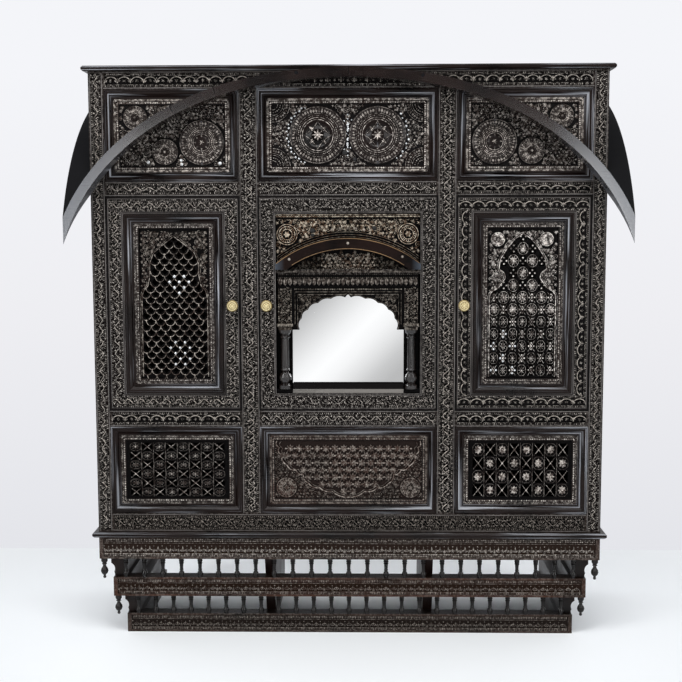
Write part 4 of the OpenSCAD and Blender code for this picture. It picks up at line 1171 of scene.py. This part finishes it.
# %% Camera
FOCAL_PX = 1150.0
PHOTO_PX = 682.0
camera = put("camera", bpy.data.cameras.new("camera"))
camera.data.sensor_width = 36.0
camera.data.lens = FOCAL_PX / PHOTO_PX * 36.0
YAW, PITCH, ROLL = (math.radians(a) for a in (1.17, -5.90, 0.155))
camera.matrix_world = (Matrix.Translation((0.0575, -4.307, 1.508)) @ Matrix.Rotation(YAW, 4, "Z")
    @ Matrix.Rotation(PITCH, 4, "X") @ Matrix.Rotation(ROLL, 4, "Y") @ Matrix.Rotation(math.pi / 2, 4, "X"))
bpy.context.scene.camera = camera
bpy.context.scene.view_settings.view_transform = "Standard"
print("lens:", round(camera.data.lens, 1))

# %% [markdown]
# ## Floor and room
# The floor and the wall are pale sheets, and the wall glows a little darker towards the floor, a painted
# shade. A dark room round the camera is seen by reflections alone, so that polished teak stays black,
# and two slanting windows in it glow for reflections alone and draw a grey sheen on both ends of the
# eave, over the painted grey sheen there. A shaded card in it, also seen by reflections alone, gives the
# mirror its pale grey.

# %% Floor and room
SEAM_Y = 0.9
FAR = 20
ROOM = [(-9, 0.5), (-9, -7.4), (9, -7.4), (9, 0.5)]
STAGED = []
PALE = ([(0, "ffffff"), (1, "ffffff")], 0.0, 1.0, (1.0, 0.0, 0.0))


def seen_direct(mat):
    """One for rays from the camera, from mirrors and through glass, and zero for the rest."""
    rays = add(mat, "LightPath").outputs
    both = maths(mat, "MAXIMUM", rays["Is Camera Ray"], rays["Is Glossy Ray"])
    return maths(mat, "MAXIMUM", both, rays["Is Transmission Ray"])


def glow(mat, share, surface, colour, strength=1.0):
    """Mixes an even glow of a colour, or of the colours of a socket, into a surface."""
    return add(mat, "MixShader", i0=share, i1=surface, i2=add(mat, "Emission", Strength=strength,
        Color=colour))


def sheet(name, corners, base, shade=None, strength=1.0, far=None, hidden=False):
    """A stage sheet seen from its front only. With a shade of stops, low, high and a way, it glows by
    them where it is seen directly, with far it glows beyond that many metres, and a hidden one is seen
    by reflections alone."""
    mat, surface = start(name, base, 0.8, Specular_IOR_Level=0.1)
    mat.cycles.emission_sampling = "NONE"
    place = add(mat, "TexCoord").outputs["Object"]
    if shade:
        stops, low, high, way = shade
        along = add(mat, "VectorMath", {"operation": "DOT_PRODUCT", 1: way}, i0=place).outputs["Value"]
        colours = ramp(mat, span(mat, along, low, high), stops)
        surface = glow(mat, seen_direct(mat), surface, colours, strength)
    if far:
        away = add(mat, "VectorMath", {"operation": "LENGTH"}, i0=place).outputs["Value"]
        share = maths(mat, "MULTIPLY", span(mat, away, *far[:2]), seen_direct(mat))
        surface = glow(mat, share, surface, far[2])
    unseen = add(mat, "NewGeometry").outputs["Backfacing"]
    if hidden:
        glossy = maths(mat, "SUBTRACT", 1.0, add(mat, "LightPath").outputs["Is Glossy Ray"])
        unseen = maths(mat, "MAXIMUM", unseen, glossy)
    surface = add(mat, "MixShader", i0=unseen, i1=surface, i2=add(mat, "BsdfTransparent"))
    wire(mat, surface, next(n for n in mat.node_tree.nodes if n.type == "OUTPUT_MATERIAL").inputs[0])
    mesh = bpy.data.meshes.new(name)
    mesh.from_pydata(corners, [], [(0, 1, 2, 3)])
    mesh.materials.append(mat)
    obj = put(name, mesh)
    STAGED.append(name)


def level_sheet(name, front, back, near):
    sheet(name, [(-FAR, front, 0), (FAR, front, 0), (FAR, back, 0), (-FAR, back, 0)], "f1f4f6",
        far=(near, 1.9, "e8ebee"))


level_sheet("floor", -FAR, SEAM_Y, 0.7)
level_sheet("floor_behind", SEAM_Y, FAR, 0.9)
# The wall glows darker towards the floor: a painted shade.
sheet("wall", [(-FAR, SEAM_Y, 0), (FAR, SEAM_Y, 0), (FAR, SEAM_Y, 12), (-FAR, SEAM_Y, 12)], "eff0f4",
    ([(0, "e4e5ea"), (0.5, "eeeef2"), (1, "f4f5f9")], 0.0, 2.2, (0.0, 0.0, 1.0)))
for i, side in enumerate(("left", "front", "right")):
    (x0, y0), (x1, y1) = ROOM[i + 1], ROOM[i]
    sheet("room_" + side, [(x0, y0, -0.5), (x1, y1, -0.5), (x1, y1, 7), (x0, y0, 7)], "121214", hidden=True)
for side, low, high, xs, strength in (("left", 0.55, 2.05, (-1.75, -2.45, -1.65, -0.95), 4.5),
        ("right", 0.45, 1.9, (2.4, 1.6, 0.95, 1.7), 5.5)):
    sheet("window_" + side, [(x, -5.0, z) for x, z in zip(xs, (low, low, high, high))], "101010", PALE,
        strength, hidden=True)
sheet("card", [(0.6, -6.2, 0.02), (-0.75, -6.2, 0.02), (-0.75, -6.2, 1.1), (0.6, -6.2, 1.1)], "202020",
    ([(i / 8, grey * 3) for i, grey in enumerate(("ad", "ca", "e1", "f4", "ff", "f6", "e3", "ca", "b9"))],
        -1.25, 0.15, (1.0, 0.0, -1.0)), 1.1, hidden=True)
print("stage sheets:", STAGED)

# %% [markdown]
# ## Light
# Two soft boxes stand left and right before the bay and a third hangs over its front. A small one close
# behind the bay lights the floor there. The sky is bright where it is seen, and lights the bay softly.

# %% Lights
def soft_box(name, place, target, width, height, watts):
    lamp = bpy.data.lights.new(name, "AREA")
    lamp.shape = "RECTANGLE"
    lamp.size, lamp.size_y, lamp.energy = width, height, watts
    look = (Vector(target) - Vector(place)).to_track_quat("-Z", "Y")
    put(name, lamp).matrix_world = Matrix.Translation(place) @ look.to_matrix().to_4x4()


soft_box("box_left", (-3.6, -3.2, 2.6), (-0.3, 0, 1.1), 1.6, 2.6, 125)
soft_box("box_right", (3.8, -3.6, 2.4), (0.3, 0, 1.1), 1.6, 2.6, 130)
soft_box("box_top", (0, -2.4, 4.6), (0, -0.2, 1.0), 3.4, 1.2, 120)
soft_box("box_back", (0, 0.62, 0.9), (0, 0.62, 0), 1.6, 0.2, 4)

world = bpy.data.worlds.new("studio")
bpy.context.scene.world = world
world.use_nodes = True
world.node_tree.nodes.clear()
seen = add(world, "Background", Color="f4f5f7", Strength=1.0)
lit = add(world, "Background", Color="f2f4f8", Strength=0.3)
add(world, "OutputWorld", Surface=add(world, "MixShader", i0=seen_direct(world), i1=lit, i2=seen))
print("lights:", len(bpy.data.lights))
